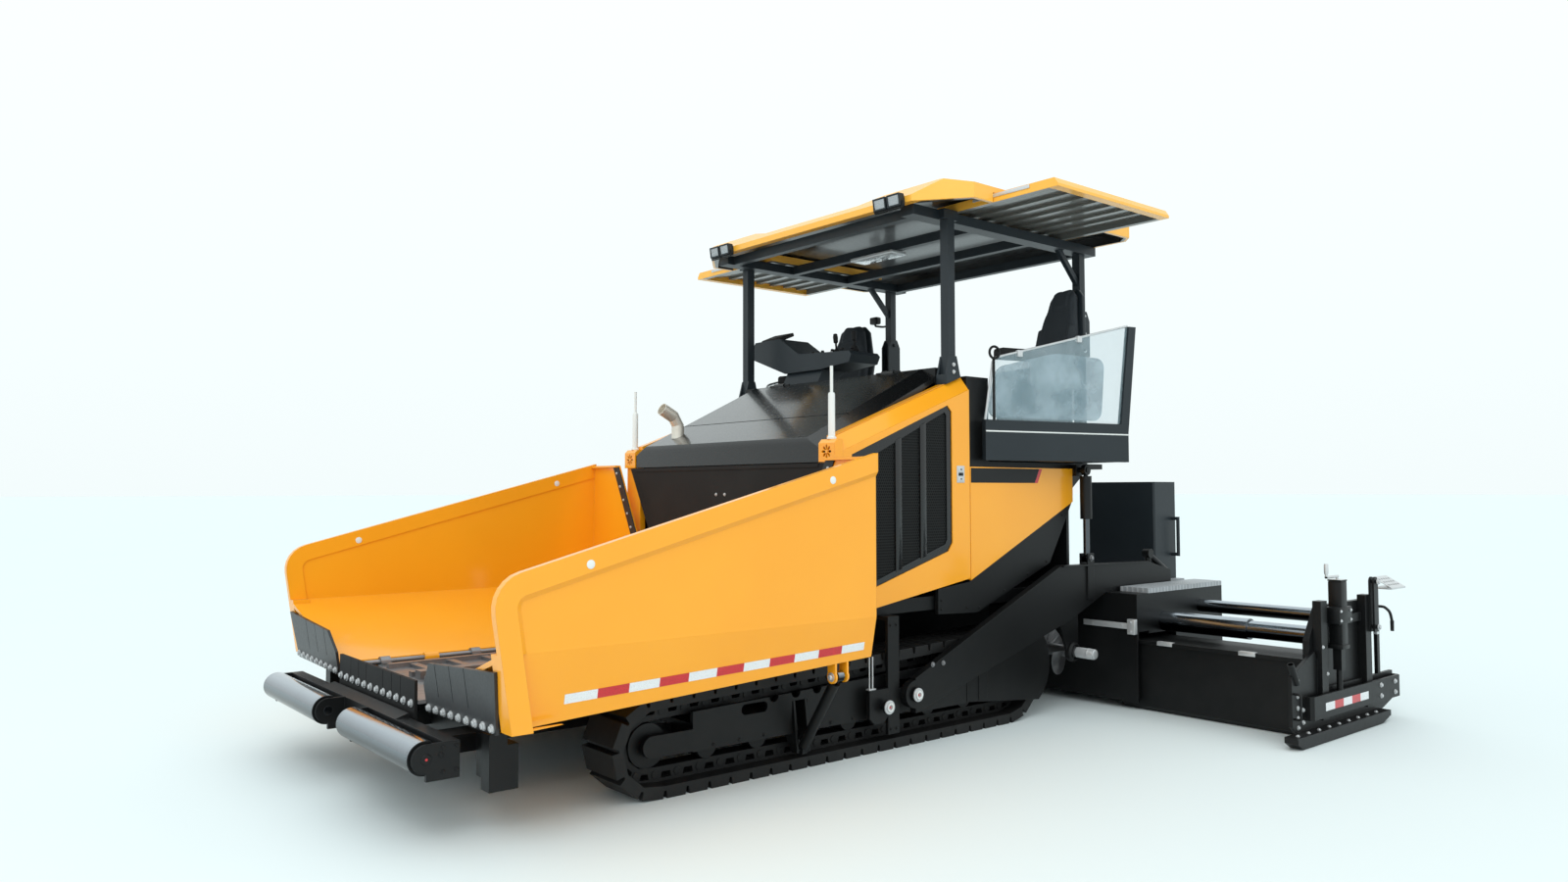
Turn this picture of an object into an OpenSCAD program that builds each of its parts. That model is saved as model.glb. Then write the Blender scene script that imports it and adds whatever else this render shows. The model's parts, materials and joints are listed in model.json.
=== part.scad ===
// Tracked asphalt paver with folding hopper wings and an extending floating screed.
// +X is the direction of travel, +Y the machine's left, +Z up; lengths are millimetres.

/* [Tracks] */
// Distance from the centre line to the outer edge of a track
track_outer_y = 1250; // [1150:5:1350]
// Width of a track shoe
shoe_w = 320; // [280:5:360]
// Place of the front idler's axle along the machine
idler_x = 2000; // [1900:5:2100]
// Radius of the track's tips round the idler
idler_tip_r = 270; // [260:1:285]
// Place of the rear sprocket's axle along the machine
sprocket_x = -950; // [-1050:5:-850]
// Radius of the track's tips round the sprocket
sprocket_tip_r = 330; // [315:1:340]
// Number of shoes in one track
shoe_count = 52; // [44:1:60]
// Height of the rubber pad on a shoe
pad_h = 42; // [36:1:50]
// Thickness of a shoe plate
shoe_t = 24; // [18:1:30]
// Height of the chain under the shoes
link_h = 78; // [70:1:84]
// Width of the chain
link_w = 110; // [90:1:130]
// Number of bottom rollers on a side
roller_count = 7; // [5:1:7]

/* [Hopper] */
// Distance from the centre line to a wing's outer face
wing_outer_y = 1650; // [1600:5:1700]
// Place of the wing's rear edge
wing_rear_x = 740; // [730:5:800]
// Length of the wing's lower edge
wing_len = 2278; // [2200:5:2350]
// Height of the wing's rear top corner
wing_rear_top_z = 1855; // [1800:5:1900]
// Slope of the wing's top edge, in degrees
wing_top_slope = 14.6; // [12:0.1:16]
// Lean of the wing's front edge from upright, in degrees
wing_front_lean = 8.7; // [5:0.1:12]
// Radius of the wing's front top corner
wing_corner_r = 165; // [120:5:200]
// Height of the fold between a wing's wall and its skirt
wing_crease_z = 905; // [890:5:930]
// Thickness of the wing's plate
wing_t = 16; // [12:1:24]
// Half the distance between the two wing hinges
wing_hinge_y = 650; // [640:5:680]
// Height of the wing hinges
wing_hinge_z = 580; // [570:1:590]

/* [Push rollers] */
// Place of the roller axis
push_x = 3245; // [3200:5:3300]
// Height of the roller axis
push_z = 411; // [390:1:430]
// Radius of a push roller
push_r = 80; // [70:1:84]
// Length of one push roller
push_len = 1010; // [900:5:1015]

/* [Body] */
// Width of the body's shoulder beside the hood
shoulder_w = 155; // [140:1:170]
// Place of the body's front face above the hopper
body_front_x = 700; // [690:1:705]
// Height of the body's top edge at the front
body_front_z = 1957; // [1930:1:1980]
// Place where the doors end and the rear quarters begin
body_mid_x = -560; // [-600:1:-540]
// Height of the body's top edge where the doors end
body_mid_z = 2431; // [2400:1:2450]
// Place of the rear quarters' rear edge
body_rear_x = -1744; // [-1780:1:-1700]
// Height of the operator's deck
deck_z = 1840; // [1830:1:1850]
// Height of the machine deck above the tracks
sill_z = 930; // [910:1:935]
// Half the width of the hood
hood_half_w = 1075; // [1050:1:1080]
// Height of the hood above the body's top edge
hood_rise = 58; // [40:1:80]
// Thickness of a body panel
panel_t = 40; // [30:1:44]

/* [Roof] */
// Height of the roof's lower face at the front
roof_z = 3590; // [3560:5:3650]
// Thickness of the roof's edge
roof_edge_h = 105; // [90:1:130]
// Height of the two humps of the roof
roof_hump_h = 45; // [30:1:60]
// Place of the roof's front edge
roof_front_x = -80; // [-150:5:0]
// Length of the roof
roof_len = 2180; // [2150:5:2300]
// Half the width of the roof
roof_half_w = 1480; // [1450:5:1520]
// How far an awning stands out past the roof
awning_out = 520; // [450:5:600]

/* [Tow arms and lift] */
// Place of the tow pin
tow_x = 108; // [90:1:120]
// Height of the tow pin
tow_z = 341; // [330:1:350]
// Thickness of a tow arm
arm_t = 50; // [40:1:60]
// Place of the lift cylinders
lift_x = -1790; // [-1800:1:-1785]
// Height of the lift cylinder's upper pin
lift_top_z = 1790; // [1780:1:1800]
// Height of the lift cylinder's lower eye
lift_low_z = 1128; // [1124:1:1135]

/* [Auger] */
// Place of the auger shaft
auger_x = -1680; // [-1700:1:-1660]
// Height of the auger shaft
auger_z = 430; // [410:1:450]
// Radius of the auger flights
auger_r = 185; // [170:1:200]
// Length of one auger from the centre line
auger_end_y = 1450; // [1400:5:1500]

/* [Screed] */
// Half the width of the basic screed
screed_half_w = 1600; // [1550:5:1650]
// Place of the front moldboard
screed_front_x = -2000; // [-2010:1:-1990]
// Place of the screed's rear face
screed_rear_x = -3240; // [-3260:5:-3200]
// Height of the upper box's underside
screed_box_z = 560; // [550:1:575]
// Height of the upper box's top
screed_top_z = 860; // [850:1:870]
// Height of the sole plates above the ground
sole_z = 4; // [3:0.5:8]
// Distance from the centre line to an extension's outer end
ext_outer_y = 2830; // [2800:5:2850]
// Length of an extension
ext_len = 1400; // [1350:5:1420]
// Rear end of the end gates
gate_rear_x = -3325; // [-3340:1:-3300]

/* [Hidden] */

$fn = 48;
// Overrun of every cut
cut = 2;
// Clearance of a shaft in its bore
fit = 0.3;
// Clearance between pieces that move past each other
gap = 6;
// Arc points per quarter turn of a cut outline
arc_steps = 6;

// Colours
paint = [0.98, 0.62, 0.10];
black = [0.05, 0.05, 0.055];
slate = [0.15, 0.16, 0.18];
steel = [0.75, 0.76, 0.78];
rubber = [0.09, 0.09, 0.10];
pale = [0.72, 0.73, 0.72];

// Solid between two corners
module block(low, high) {
  translate(low) cube(high - low);
}

// Outline in X and Z, between two places across the machine
module slab_y(points, y0, y1) {
  translate([0, y1, 0]) rotate([90, 0, 0]) linear_extrude(y1 - y0) polygon(points);
}

// Outline in Y and Z, between two places along the machine
module slab_x(points, x0, x1) {
  translate([x0, 0, 0]) rotate([90, 0, 90]) linear_extrude(x1 - x0) polygon(points);
}

// Outline in X and Y, between two heights
module slab_z(points, z0, z1) {
  translate([0, 0, z0]) linear_extrude(z1 - z0) polygon(points);
}

// Outline in X and Y, taken on both sides of the centre line
function mirrored(points) = concat(points,
  [for (i = [len(points) - 1:-1:0]) [points[i][0], -points[i][1]]]);

// Slot with round ends along the machine, through a plate
module slot_y(x, z, length, height, y0, y1) {
  block([x - (length - height) / 2, y0, z - height / 2], [x + (length - height) / 2, y1, z + height / 2]);
  for (s = [-1, 1]) bar_y(x + s * (length - height) / 2, z, height / 2, y0, y1);
}

// Round bar across the machine
module bar_y(x, z, r, y0, y1) {
  translate([x, y1, z]) rotate([90, 0, 0]) cylinder(h = y1 - y0, r = r);
}

// Round bar along the machine
module bar_x(y, z, r, x0, x1) {
  translate([x0, y, z]) rotate([0, 90, 0]) cylinder(h = x1 - x0, r = r);
}

// Round bar from one point towards another, starting and ending at given distances
module bar_to(p, q, r, from, to) {
  d = q - p;
  turn = atan2(d[1], d[0]);
  lean = acos(d[2] / norm(d));
  translate(p) rotate([0, lean, turn]) translate([0, 0, from]) cylinder(h = to - from, r = r);
}

// The same on the left and on the right
module both() {
  children();
  mirror([0, 1, 0]) children();
}

// On the left, or mirrored to the right
module on_side(left) {
  if (left) children();
  else mirror([0, 1, 0]) children();
}

// Points of an arc about a centre
function arc(c, r, a0, a1, steps) =
  [for (i = [0:steps]) c + r * [cos(a0 + (a1 - a0) * i / steps), sin(a0 + (a1 - a0) * i / steps)]];

// Body sides stand beside the hood, tow arms outside tracks and body
body_outer_y = hood_half_w + shoulder_w;
tow_post_out = 10;
tow_post_y = track_outer_y + tow_post_out;
tow_post_t = 24;
arm_clear = 60;
arm_y = max(tow_post_y + tow_post_t + gap, body_outer_y + arm_clear);

// Track loop: two circles on the ground joined by straight runs
track_inner_y = track_outer_y - shoe_w;
track_mid_y = track_outer_y - shoe_w / 2;
track_run = idler_x - sprocket_x;
track_rise = sprocket_tip_r - idler_tip_r;
track_tilt = 2 * atan(track_rise / track_run);
shoe_gap_share = 0.10;

// Radii of the loop at a depth below the tips
function loop_r(depth) = [idler_tip_r - depth, sprocket_tip_r - depth];
function loop_len(depth) =
  2 * track_run + (loop_r(depth)[0] * (180 - track_tilt) + loop_r(depth)[1] * (180 + track_tilt)) * PI
    / 180;
// Point at a distance along the loop, measured at the foot of the pads, raised by h
function loop_point(s, h) =
  let (ri = loop_r(pad_h)[0], rs = loop_r(pad_h)[1], a = track_run, b = a + ri * (180 - track_tilt) * PI
    / 180, c = b + track_run, front = (s - a) / ri * 180 / PI - 90, back = (s - c) / rs * 180 / PI + 90
    - track_tilt, up = 90 - track_tilt)
  s < a ? [sprocket_x + s, pad_h - h] :
  s < b ? [idler_x, idler_tip_r] + (ri + h) * [cos(front), sin(front)] :
  s < c ? [idler_x, idler_tip_r] + (ri + h) * [cos(up), sin(up)] + (s - b) * [cos(up + 90),
    sin(up + 90)] :
  [sprocket_x, sprocket_tip_r] + (rs + h) * [cos(back), sin(back)];

// Loop through the joints of the chain, raised by h from the foot of the pads
shoe_p = loop_len(pad_h) / shoe_count;
function joint_loop(h) = [for (i = [0:shoe_count - 1]) loop_point(i * shoe_p, h)];

// Toothed outline of the shoes
function shoe_loop() = [for (i = [0:shoe_count - 1])
  each [loop_point((i + shoe_gap_share / 2) * shoe_p, 0), loop_point((i + shoe_gap_share) * shoe_p,
  pad_h), loop_point((i + 1 - shoe_gap_share) * shoe_p, pad_h),
  loop_point((i + 1 - shoe_gap_share / 2) * shoe_p, 0)]];

// Opening through one link, as shares of the pitch and of the chain's height
link_hole_shares = [[0.26, 0.20], [0.74, 0.20], [0.68, 0.62], [0.32, 0.62]];
function link_hole(i) =
  [for (share = link_hole_shares) loop_point((i + share[0]) * shoe_p, -shoe_t - share[1] * link_h)];

// Band between two places across the machine
module band_y(y0, y1) {
  translate([0, y1, 0]) rotate([90, 0, 0]) linear_extrude(y1 - y0) children();
}

chain_depth = pad_h + shoe_t + link_h;
module track(left) {
  color(black) on_side(left) {
    band_y(track_inner_y, track_outer_y) difference() {
      polygon(shoe_loop());
      polygon(joint_loop(-shoe_t));
    }
    band_y(track_mid_y - link_w / 2, track_mid_y + link_w / 2) difference() {
      polygon(joint_loop(cut - shoe_t));
      polygon(joint_loop(-shoe_t - link_h));
      for (i = [0:shoe_count - 1]) polygon(link_hole(i));
    }
  }
}

// Track frames with idler, sprocket and rollers
frame_plate_t = 26;
frame_plate_in = 38;
frame_low_z = 205;
frame_top_front_z = 425;
frame_top_rear_z = 490;
frame_nose_in = 260;
frame_tail_in = 300;
frame_front_x = idler_x - frame_nose_in;
frame_rear_x = sprocket_x + frame_tail_in;
frame_outer_y = track_outer_y - frame_plate_in;
frame_inner_y = track_inner_y + frame_plate_in;
frame_core_z = 250;
frame_core_h = 110;
track_roller_r = 68;
track_roller_side = 30;
carrier_r = 46;
axle_r = 34;
// Radius of a wheel that the straight links of the chain just clear
function wheel_r(end) = loop_r(chain_depth)[end] * cos(shoe_p / 2 / loop_r(pad_h)[end] * 180 / PI) - fit;
idler_r = wheel_r(0);
sprocket_r = wheel_r(1);
drive_hub_r = 105;
frame_slot_h = 60;
frame_slot_len = 190;
frame_slot_shares = [0.14, 0.30, 0.82];
frame_notch_r = 34;
frame_notch_shares = [0.62, 0.69, 0.76];
roller_in = 390;
first_roller_x = idler_x - roller_in;
last_roller_x = sprocket_x + roller_in;
carrier_shares = [0.30, 0.70];
wheel_in_y = frame_inner_y + frame_plate_t + track_roller_side;
wheel_out_y = frame_outer_y - frame_plate_t - track_roller_side;

// Height of the chain's lower face on the upper run
function upper_chain_z(x) = 2 * idler_tip_r - chain_depth + (idler_x - x) * tan(track_tilt);

function frame_top_at(share) = frame_top_rear_z + (frame_top_front_z - frame_top_rear_z) * share;
module frame_plate(y0, y1) {
  run = frame_front_x - frame_rear_x;
  slot_z = frame_core_z + frame_core_h + frame_slot_h / 2;
  difference() {
    union() {
      slab_y([[frame_front_x, frame_low_z], [frame_front_x, frame_top_front_z],
        [frame_rear_x, frame_top_rear_z], [frame_rear_x, frame_low_z]], y0, y1);
      slab_y([[frame_front_x - cut, idler_tip_r - idler_r / 2], [idler_x, idler_tip_r - idler_r / 2],
        [idler_x, idler_tip_r + idler_r / 2], [frame_front_x - cut, idler_tip_r + idler_r / 2]], y0, y1);
      bar_y(idler_x, idler_tip_r, idler_r / 2, y0, y1);
      slab_y([[frame_rear_x + cut, frame_low_z], [frame_rear_x + cut, frame_top_rear_z],
        [sprocket_x, sprocket_tip_r + drive_hub_r], [sprocket_x, sprocket_tip_r - drive_hub_r]], y0, y1);
      bar_y(sprocket_x, sprocket_tip_r, drive_hub_r, y0, y1);
    }
    for (share = frame_slot_shares) {
      slot_y(frame_rear_x + run * share, slot_z, frame_slot_len, frame_slot_h, y0 - cut, y1 + cut);
    }
    for (share = frame_notch_shares) {
      bar_y(frame_rear_x + run * share, frame_top_at(share), frame_notch_r, y0 - cut, y1 + cut);
    }
  }
}

module track_frame() {
  difference() {
    union() {
      frame_plate(frame_inner_y, frame_inner_y + frame_plate_t);
      frame_plate(frame_outer_y - frame_plate_t, frame_outer_y);
      block([frame_rear_x, frame_inner_y + frame_plate_t - cut, frame_core_z],
        [frame_front_x, frame_outer_y - frame_plate_t + cut, frame_core_z + frame_core_h]);
      for (i = [0:roller_count - 1]) {
        x = last_roller_x + (first_roller_x - last_roller_x) * i / (roller_count - 1);
        bar_y(x, chain_depth + fit + track_roller_r, track_roller_r, wheel_in_y, wheel_out_y);
      }
      for (share = carrier_shares) {
        x = idler_x - track_run * share;
        z = upper_chain_z(x) - carrier_r - fit;
        bar_y(x, z, carrier_r, track_mid_y - link_w / 2, track_mid_y + link_w / 2);
        block([x - axle_r, track_mid_y - link_w / 4, frame_core_z], [x + axle_r, track_mid_y + link_w / 4,
          z]);
      }
      bar_y(idler_x, idler_tip_r, axle_r, frame_inner_y, frame_outer_y);
      bar_y(idler_x, idler_tip_r, idler_r, wheel_in_y, wheel_out_y);
      bar_y(sprocket_x, sprocket_tip_r, drive_hub_r - axle_r, frame_inner_y, frame_outer_y);
      bar_y(sprocket_x, sprocket_tip_r, sprocket_r, wheel_in_y, wheel_out_y);
      drive_cover();
    }
    // Room for the wing cylinder beside the outer plate
    block([wing_cyl_x - wing_lug_out - gap, wheel_out_y - track_roller_side, frame_low_z - cut],
      [wing_cyl_x + wing_lug_out + gap, frame_outer_y + cut, frame_low_z + wing_cyl_notch_h]);
  }
}

// Cover plate outside the drive end of the track
cover_gap = 5;
cover_t = 10;
cover_y = track_outer_y + cover_gap;
cover_front_x = -470;
cover_front_low_z = 209;
cover_front_top_z = 522;
cover_knee_x = -680;
cover_knee_z = 592;
cover_back = 120;
cover_rise = 60;
cover_r = 315;
cover_from = 68;
cover_to = 235;
cover_fold_w = 90;
module drive_cover() {
  c = [sprocket_x - cover_back, sprocket_tip_r + cover_rise];
  slab_y(concat([[cover_front_x, cover_front_low_z], [cover_front_x, cover_front_top_z],
    [cover_knee_x, cover_knee_z]], arc(c, cover_r, cover_from, cover_to, arc_steps * 2)), cover_y,
    cover_y + cover_t);
  slab_y([[cover_knee_x, cover_front_low_z], [cover_knee_x, cover_knee_z - cover_t],
    [cover_knee_x + cover_fold_w, cover_front_top_z], [cover_knee_x + cover_fold_w, cover_front_low_z]],
    cover_y + cover_t - cut, cover_y + cover_t + cover_gap);
  bar_y(sprocket_x, sprocket_tip_r, drive_hub_r - axle_r, frame_outer_y - cut, cover_y + cut);
}

// Wing cylinders: base on the track frame, eye on the wing's skirt
wing_cyl_x = 970;
wing_base_in = 18;
wing_base_y = track_outer_y - wing_base_in;
wing_base_z = 108;
wing_eye_in = 100;
wing_eye_y = wing_outer_y - wing_eye_in;
wing_eye_z = 578;
wing_barrel_r = 32;
wing_rod_r = 18;
wing_eye_r = 32;
wing_eye_half = 22;
wing_pin_r = 15;
wing_lug_gap = 16;
wing_lug_t = 14;
wing_clevis_rim = 6;
wing_lug_out = wing_eye_half + wing_lug_gap + wing_lug_t;
wing_cyl_notch_h = 190;
wing_base = [wing_cyl_x, wing_base_y, wing_base_z];
wing_eye = [wing_cyl_x, wing_eye_y, wing_eye_z];
wing_cyl_len = norm(wing_eye - wing_base);
wing_barrel_foot = 26;
wing_rod_end = 50;
wing_barrel_end = wing_cyl_len - wing_rod_end;
wing_cap_t = 14;
wing_bore_foot = wing_barrel_foot + wing_cap_t;
wing_rod_foot = wing_bore_foot + gap;

module wing_base_lugs() {
  for (s = [-1, 1]) {
    x = wing_cyl_x + s * (wing_eye_half + wing_lug_gap + wing_lug_t / 2);
    translate([x, 0, 0]) {
      slab_x([[wing_base_y - wing_eye_r, wing_base_z - wing_pin_r], [wing_base_y + wing_eye_r / 2,
        wing_base_z - wing_pin_r], [wing_base_y + wing_eye_r / 2, wing_base_z + wing_pin_r],
        [frame_outer_y, frame_low_z + wing_cyl_notch_h + wing_pin_r],
        [wheel_out_y - track_roller_side - cut, frame_low_z + wing_cyl_notch_h + wing_pin_r],
        [wheel_out_y - track_roller_side - cut, frame_low_z]], -wing_lug_t / 2, wing_lug_t / 2);
    }
  }
  bar_x(wing_base_y, wing_base_z, wing_pin_r, wing_cyl_x - wing_lug_out, wing_cyl_x + wing_lug_out);
}

module track_frames() {
  color(black) both() {
    track_frame();
    wing_base_lugs();
  }
}

module wing_barrel(left) {
  color(black) on_side(left) difference() {
    union() {
      bar_to(wing_base, wing_eye, wing_barrel_r, wing_barrel_foot, wing_barrel_end);
      bar_to(wing_base, wing_eye, wing_eye_half, 0, wing_barrel_foot + cut);
      bar_x(wing_base_y, wing_base_z, wing_eye_r, wing_cyl_x - wing_eye_half, wing_cyl_x + wing_eye_half);
    }
    bar_to(wing_base, wing_eye, wing_rod_r + fit, wing_bore_foot, wing_barrel_end + cut);
    bar_x(wing_base_y, wing_base_z, wing_pin_r + fit, wing_cyl_x - wing_lug_out,
      wing_cyl_x + wing_lug_out);
  }
}

module wing_rod(left) {
  color(steel) on_side(left) {
    bar_to(wing_base, wing_eye, wing_rod_r, wing_rod_foot, wing_cyl_len);
    bar_x(wing_eye_y, wing_eye_z, wing_eye_r, wing_cyl_x - wing_eye_half, wing_cyl_x + wing_eye_half);
  }
}

// Chassis: conveyor tunnel, cross beams, deck and front plate
tunnel_in = 50;
tunnel_half_w = wing_hinge_y - tunnel_in;
tunnel_t = 30;
tunnel_low_z = 300;
chassis_front_x = 2750;
auger_room = 15;
chassis_rear_x = auger_x + auger_r + auger_room;
hopper_side_z = 540;
deck_t = 30;
sill_half_w = body_outer_y - panel_t - gap;
sill_h = 90;
sill_w = 90;
beam_xs = [1500, 450, -560];
beam_len = 130;
beam_z0 = 262;
beam_h = 84;
nose_t = 40;
nose_half_w = 900;
nose_back = 25;
body_nose_x = body_front_x - nose_back;

module chassis() {
  color(black) {
    both() slab_y([[chassis_front_x, tunnel_low_z], [chassis_front_x, hopper_side_z],
      [body_nose_x, hopper_side_z], [body_nose_x, sill_z - deck_t], [chassis_rear_x, sill_z - deck_t],
      [chassis_rear_x, tunnel_low_z]], tunnel_half_w, tunnel_half_w + tunnel_t);
    for (x = beam_xs) {
      block([x - beam_len / 2, -frame_inner_y, beam_z0], [x + beam_len / 2, frame_inner_y,
        beam_z0 + beam_h]);
    }
    block([chassis_front_x, -nose_half_w, tunnel_low_z], [chassis_front_x + nose_t, nose_half_w,
      hopper_side_z]);
    block([body_rear_x, -sill_half_w, sill_z - deck_t], [body_nose_x, sill_half_w, sill_z]);
    both() block([chassis_rear_x, sill_half_w - sill_w, sill_z - sill_h], [body_nose_x, sill_half_w,
      sill_z - deck_t]);
  }
}

// Engine: one plain mass on the deck
engine_front_x = 560;
engine_rear_x = -420;
engine_half_w = 430;
engine_h = 760;
module engine_block() {
  color(slate) block([engine_rear_x, -engine_half_w, sill_z], [engine_front_x, engine_half_w,
    sill_z + engine_h]);
}

// Conveyor: floor of the hopper and tunnel, two slat chains and the wing hinges
conveyor_front_x = 3040;
conveyor_rear_x = chassis_rear_x;
conveyor_floor_t = 20;
conveyor_floor_z = hopper_side_z + conveyor_floor_t;
slat_pitch = 230;
slat_len = 46;
slat_h = 22;
slat_gap_y = 50;
slat_count = floor((conveyor_front_x - conveyor_rear_x) / slat_pitch) - 1;
chain_w = 44;
chain_h = 30;
hinge_pin_r = 16;
hinge_knuckle_r = 32;
hinge_lug_len = 60;
hinge_lug_shares = [0.06, 0.36, 0.66, 0.94];
wing_floor_front_x = wing_rear_x + wing_len;
hinge_rear_in = 60;
hinge_front_in = 120;
hinge_rear_x = wing_rear_x + hinge_rear_in;
hinge_front_x = wing_floor_front_x - hinge_front_in;
ridge_half_w = 40;
conveyor_half_w = wing_hinge_y - hinge_knuckle_r - gap;
ridge_h = 50;

module conveyor() {
  color(black) {
    block([conveyor_rear_x, -tunnel_half_w + fit, hopper_side_z], [body_nose_x + cut, tunnel_half_w - fit,
      conveyor_floor_z]);
    block([body_nose_x, -conveyor_half_w, hopper_side_z], [conveyor_front_x, conveyor_half_w,
      conveyor_floor_z]);
    for (i = [1:slat_count]) {
      x = conveyor_rear_x + i * slat_pitch;
      both() block([x - slat_len / 2, slat_gap_y, conveyor_floor_z - cut],
        [x + slat_len / 2, tunnel_half_w - slat_gap_y, conveyor_floor_z + slat_h]);
    }
    both() for (y = [slat_gap_y + chain_w, tunnel_half_w - slat_gap_y - 2 * chain_w]) {
      block([conveyor_rear_x, y, conveyor_floor_z - cut], [conveyor_front_x - slat_pitch, y + chain_w,
        conveyor_floor_z + chain_h]);
    }
    block([conveyor_rear_x, -ridge_half_w, conveyor_floor_z - cut], [conveyor_front_x - slat_pitch,
      ridge_half_w, conveyor_floor_z + ridge_h]);
    both() {
      bar_x(wing_hinge_y, wing_hinge_z, hinge_pin_r, hinge_rear_x, hinge_front_x);
      for (share = hinge_lug_shares) {
        x = hinge_rear_x + (hinge_front_x - hinge_rear_x) * share;
        bar_x(wing_hinge_y, wing_hinge_z, hinge_knuckle_r, x - hinge_lug_len / 2, x + hinge_lug_len / 2);
        block([x - hinge_lug_len / 2, tunnel_half_w - cut, hopper_side_z],
          [x + hinge_lug_len / 2, wing_hinge_y, wing_hinge_z]);
      }
    }
  }
}

// Hopper wings: a wall with a raised rim, a skirt and a sloping floor
wing_skirt_in = 90;
wing_low_rear_z = 670;
wing_low_front_z = 551;
wing_rim_w = 105;
wing_rim_slope = 26;
wing_rim_t = 44;
wing_recess = 20;
wing_floor_out = 46;
wing_floor_up = 16;
wing_floor_in_y = wing_hinge_y + wing_floor_out;
wing_floor_in_z = wing_hinge_z + wing_floor_up;
wing_rear_edge_ys = [1230, 964, 720];
wing_rear_edge_zs = [1836, 1305, 660];
wing_flange_w = 95;
wing_rib_shares = [0.02, 0.25, 0.5, 0.75, 0.97];
wing_rib_t = 16;
knuckle_len = 90;
knuckle_shares = [0.21, 0.51, 0.80];
wing_wall_y = wing_outer_y - wing_recess;

// Side outline of a wing, drawn in by an inset along its top and front edges
wing_front_foot = [wing_floor_front_x, wing_low_front_z];
function wing_front_at(z, inset) =
  wing_front_foot[0] - inset / cos(wing_front_lean) + (z - wing_front_foot[1]) * tan(wing_front_lean);
function wing_top_at(x, inset) =
  wing_rear_top_z - inset / cos(wing_top_slope) - (x - wing_rear_x) * tan(wing_top_slope);
// Centre of the corner arc: equally far from the front and the top edge
wing_corner_z = (wing_top_at(0, wing_corner_r) - tan(wing_top_slope) * wing_front_at(0, wing_corner_r))
  / (1 + tan(wing_top_slope) * tan(wing_front_lean));
wing_corner = [wing_front_at(wing_corner_z, wing_corner_r), wing_corner_z];
function wing_edge(inset) = concat(arc(wing_corner, wing_corner_r - inset, -wing_front_lean,
  90 - wing_top_slope, arc_steps), [[wing_rear_x, wing_top_at(wing_rear_x, inset)]]);
function wing_outline(low) = concat([[wing_rear_x, low], [wing_front_at(wing_low_front_z, 0),
  wing_low_front_z]], wing_edge(0));

// Section of a wing: wall, skirt and floor
wing_wall_top = wing_rear_top_z + wing_rim_w;
module wing_section() {
  y = wing_wall_y;
  skirt_foot_y = wing_outer_y - wing_skirt_in;
  polygon([[wing_outer_y, wing_wall_top], [wing_outer_y, wing_crease_z], [y, wing_crease_z],
    [skirt_foot_y, wing_low_front_z], [skirt_foot_y - wing_t, wing_low_front_z],
    [y - wing_t * 2, wing_crease_z - wing_t * 2], [wing_floor_in_y, wing_floor_in_z - wing_t],
    [wing_floor_in_y, wing_floor_in_z], [y - wing_t, wing_crease_z], [y - wing_t, wing_wall_top]]);
}

// Pocket inside the rim, open towards the rear and the skirt
module wing_pocket_slice(inset, y0, y1) {
  low = wing_crease_z - wing_rim_w;
  edge = wing_edge(inset);
  last = len(edge) - 1;
  slab_y(concat([[wing_rear_x - wing_rim_w, low], [wing_front_at(low, inset), low]],
    [for (i = [0:last - 1]) edge[i]],
    [[wing_rear_x - wing_rim_w, wing_top_at(wing_rear_x - wing_rim_w, inset)]]), y0, y1);
}
module wing_pocket() {
  hull() {
    wing_pocket_slice(wing_rim_w + wing_rim_slope, wing_wall_y, wing_wall_y + cut);
    wing_pocket_slice(wing_rim_w, wing_outer_y, wing_outer_y + cut);
  }
}

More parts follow.
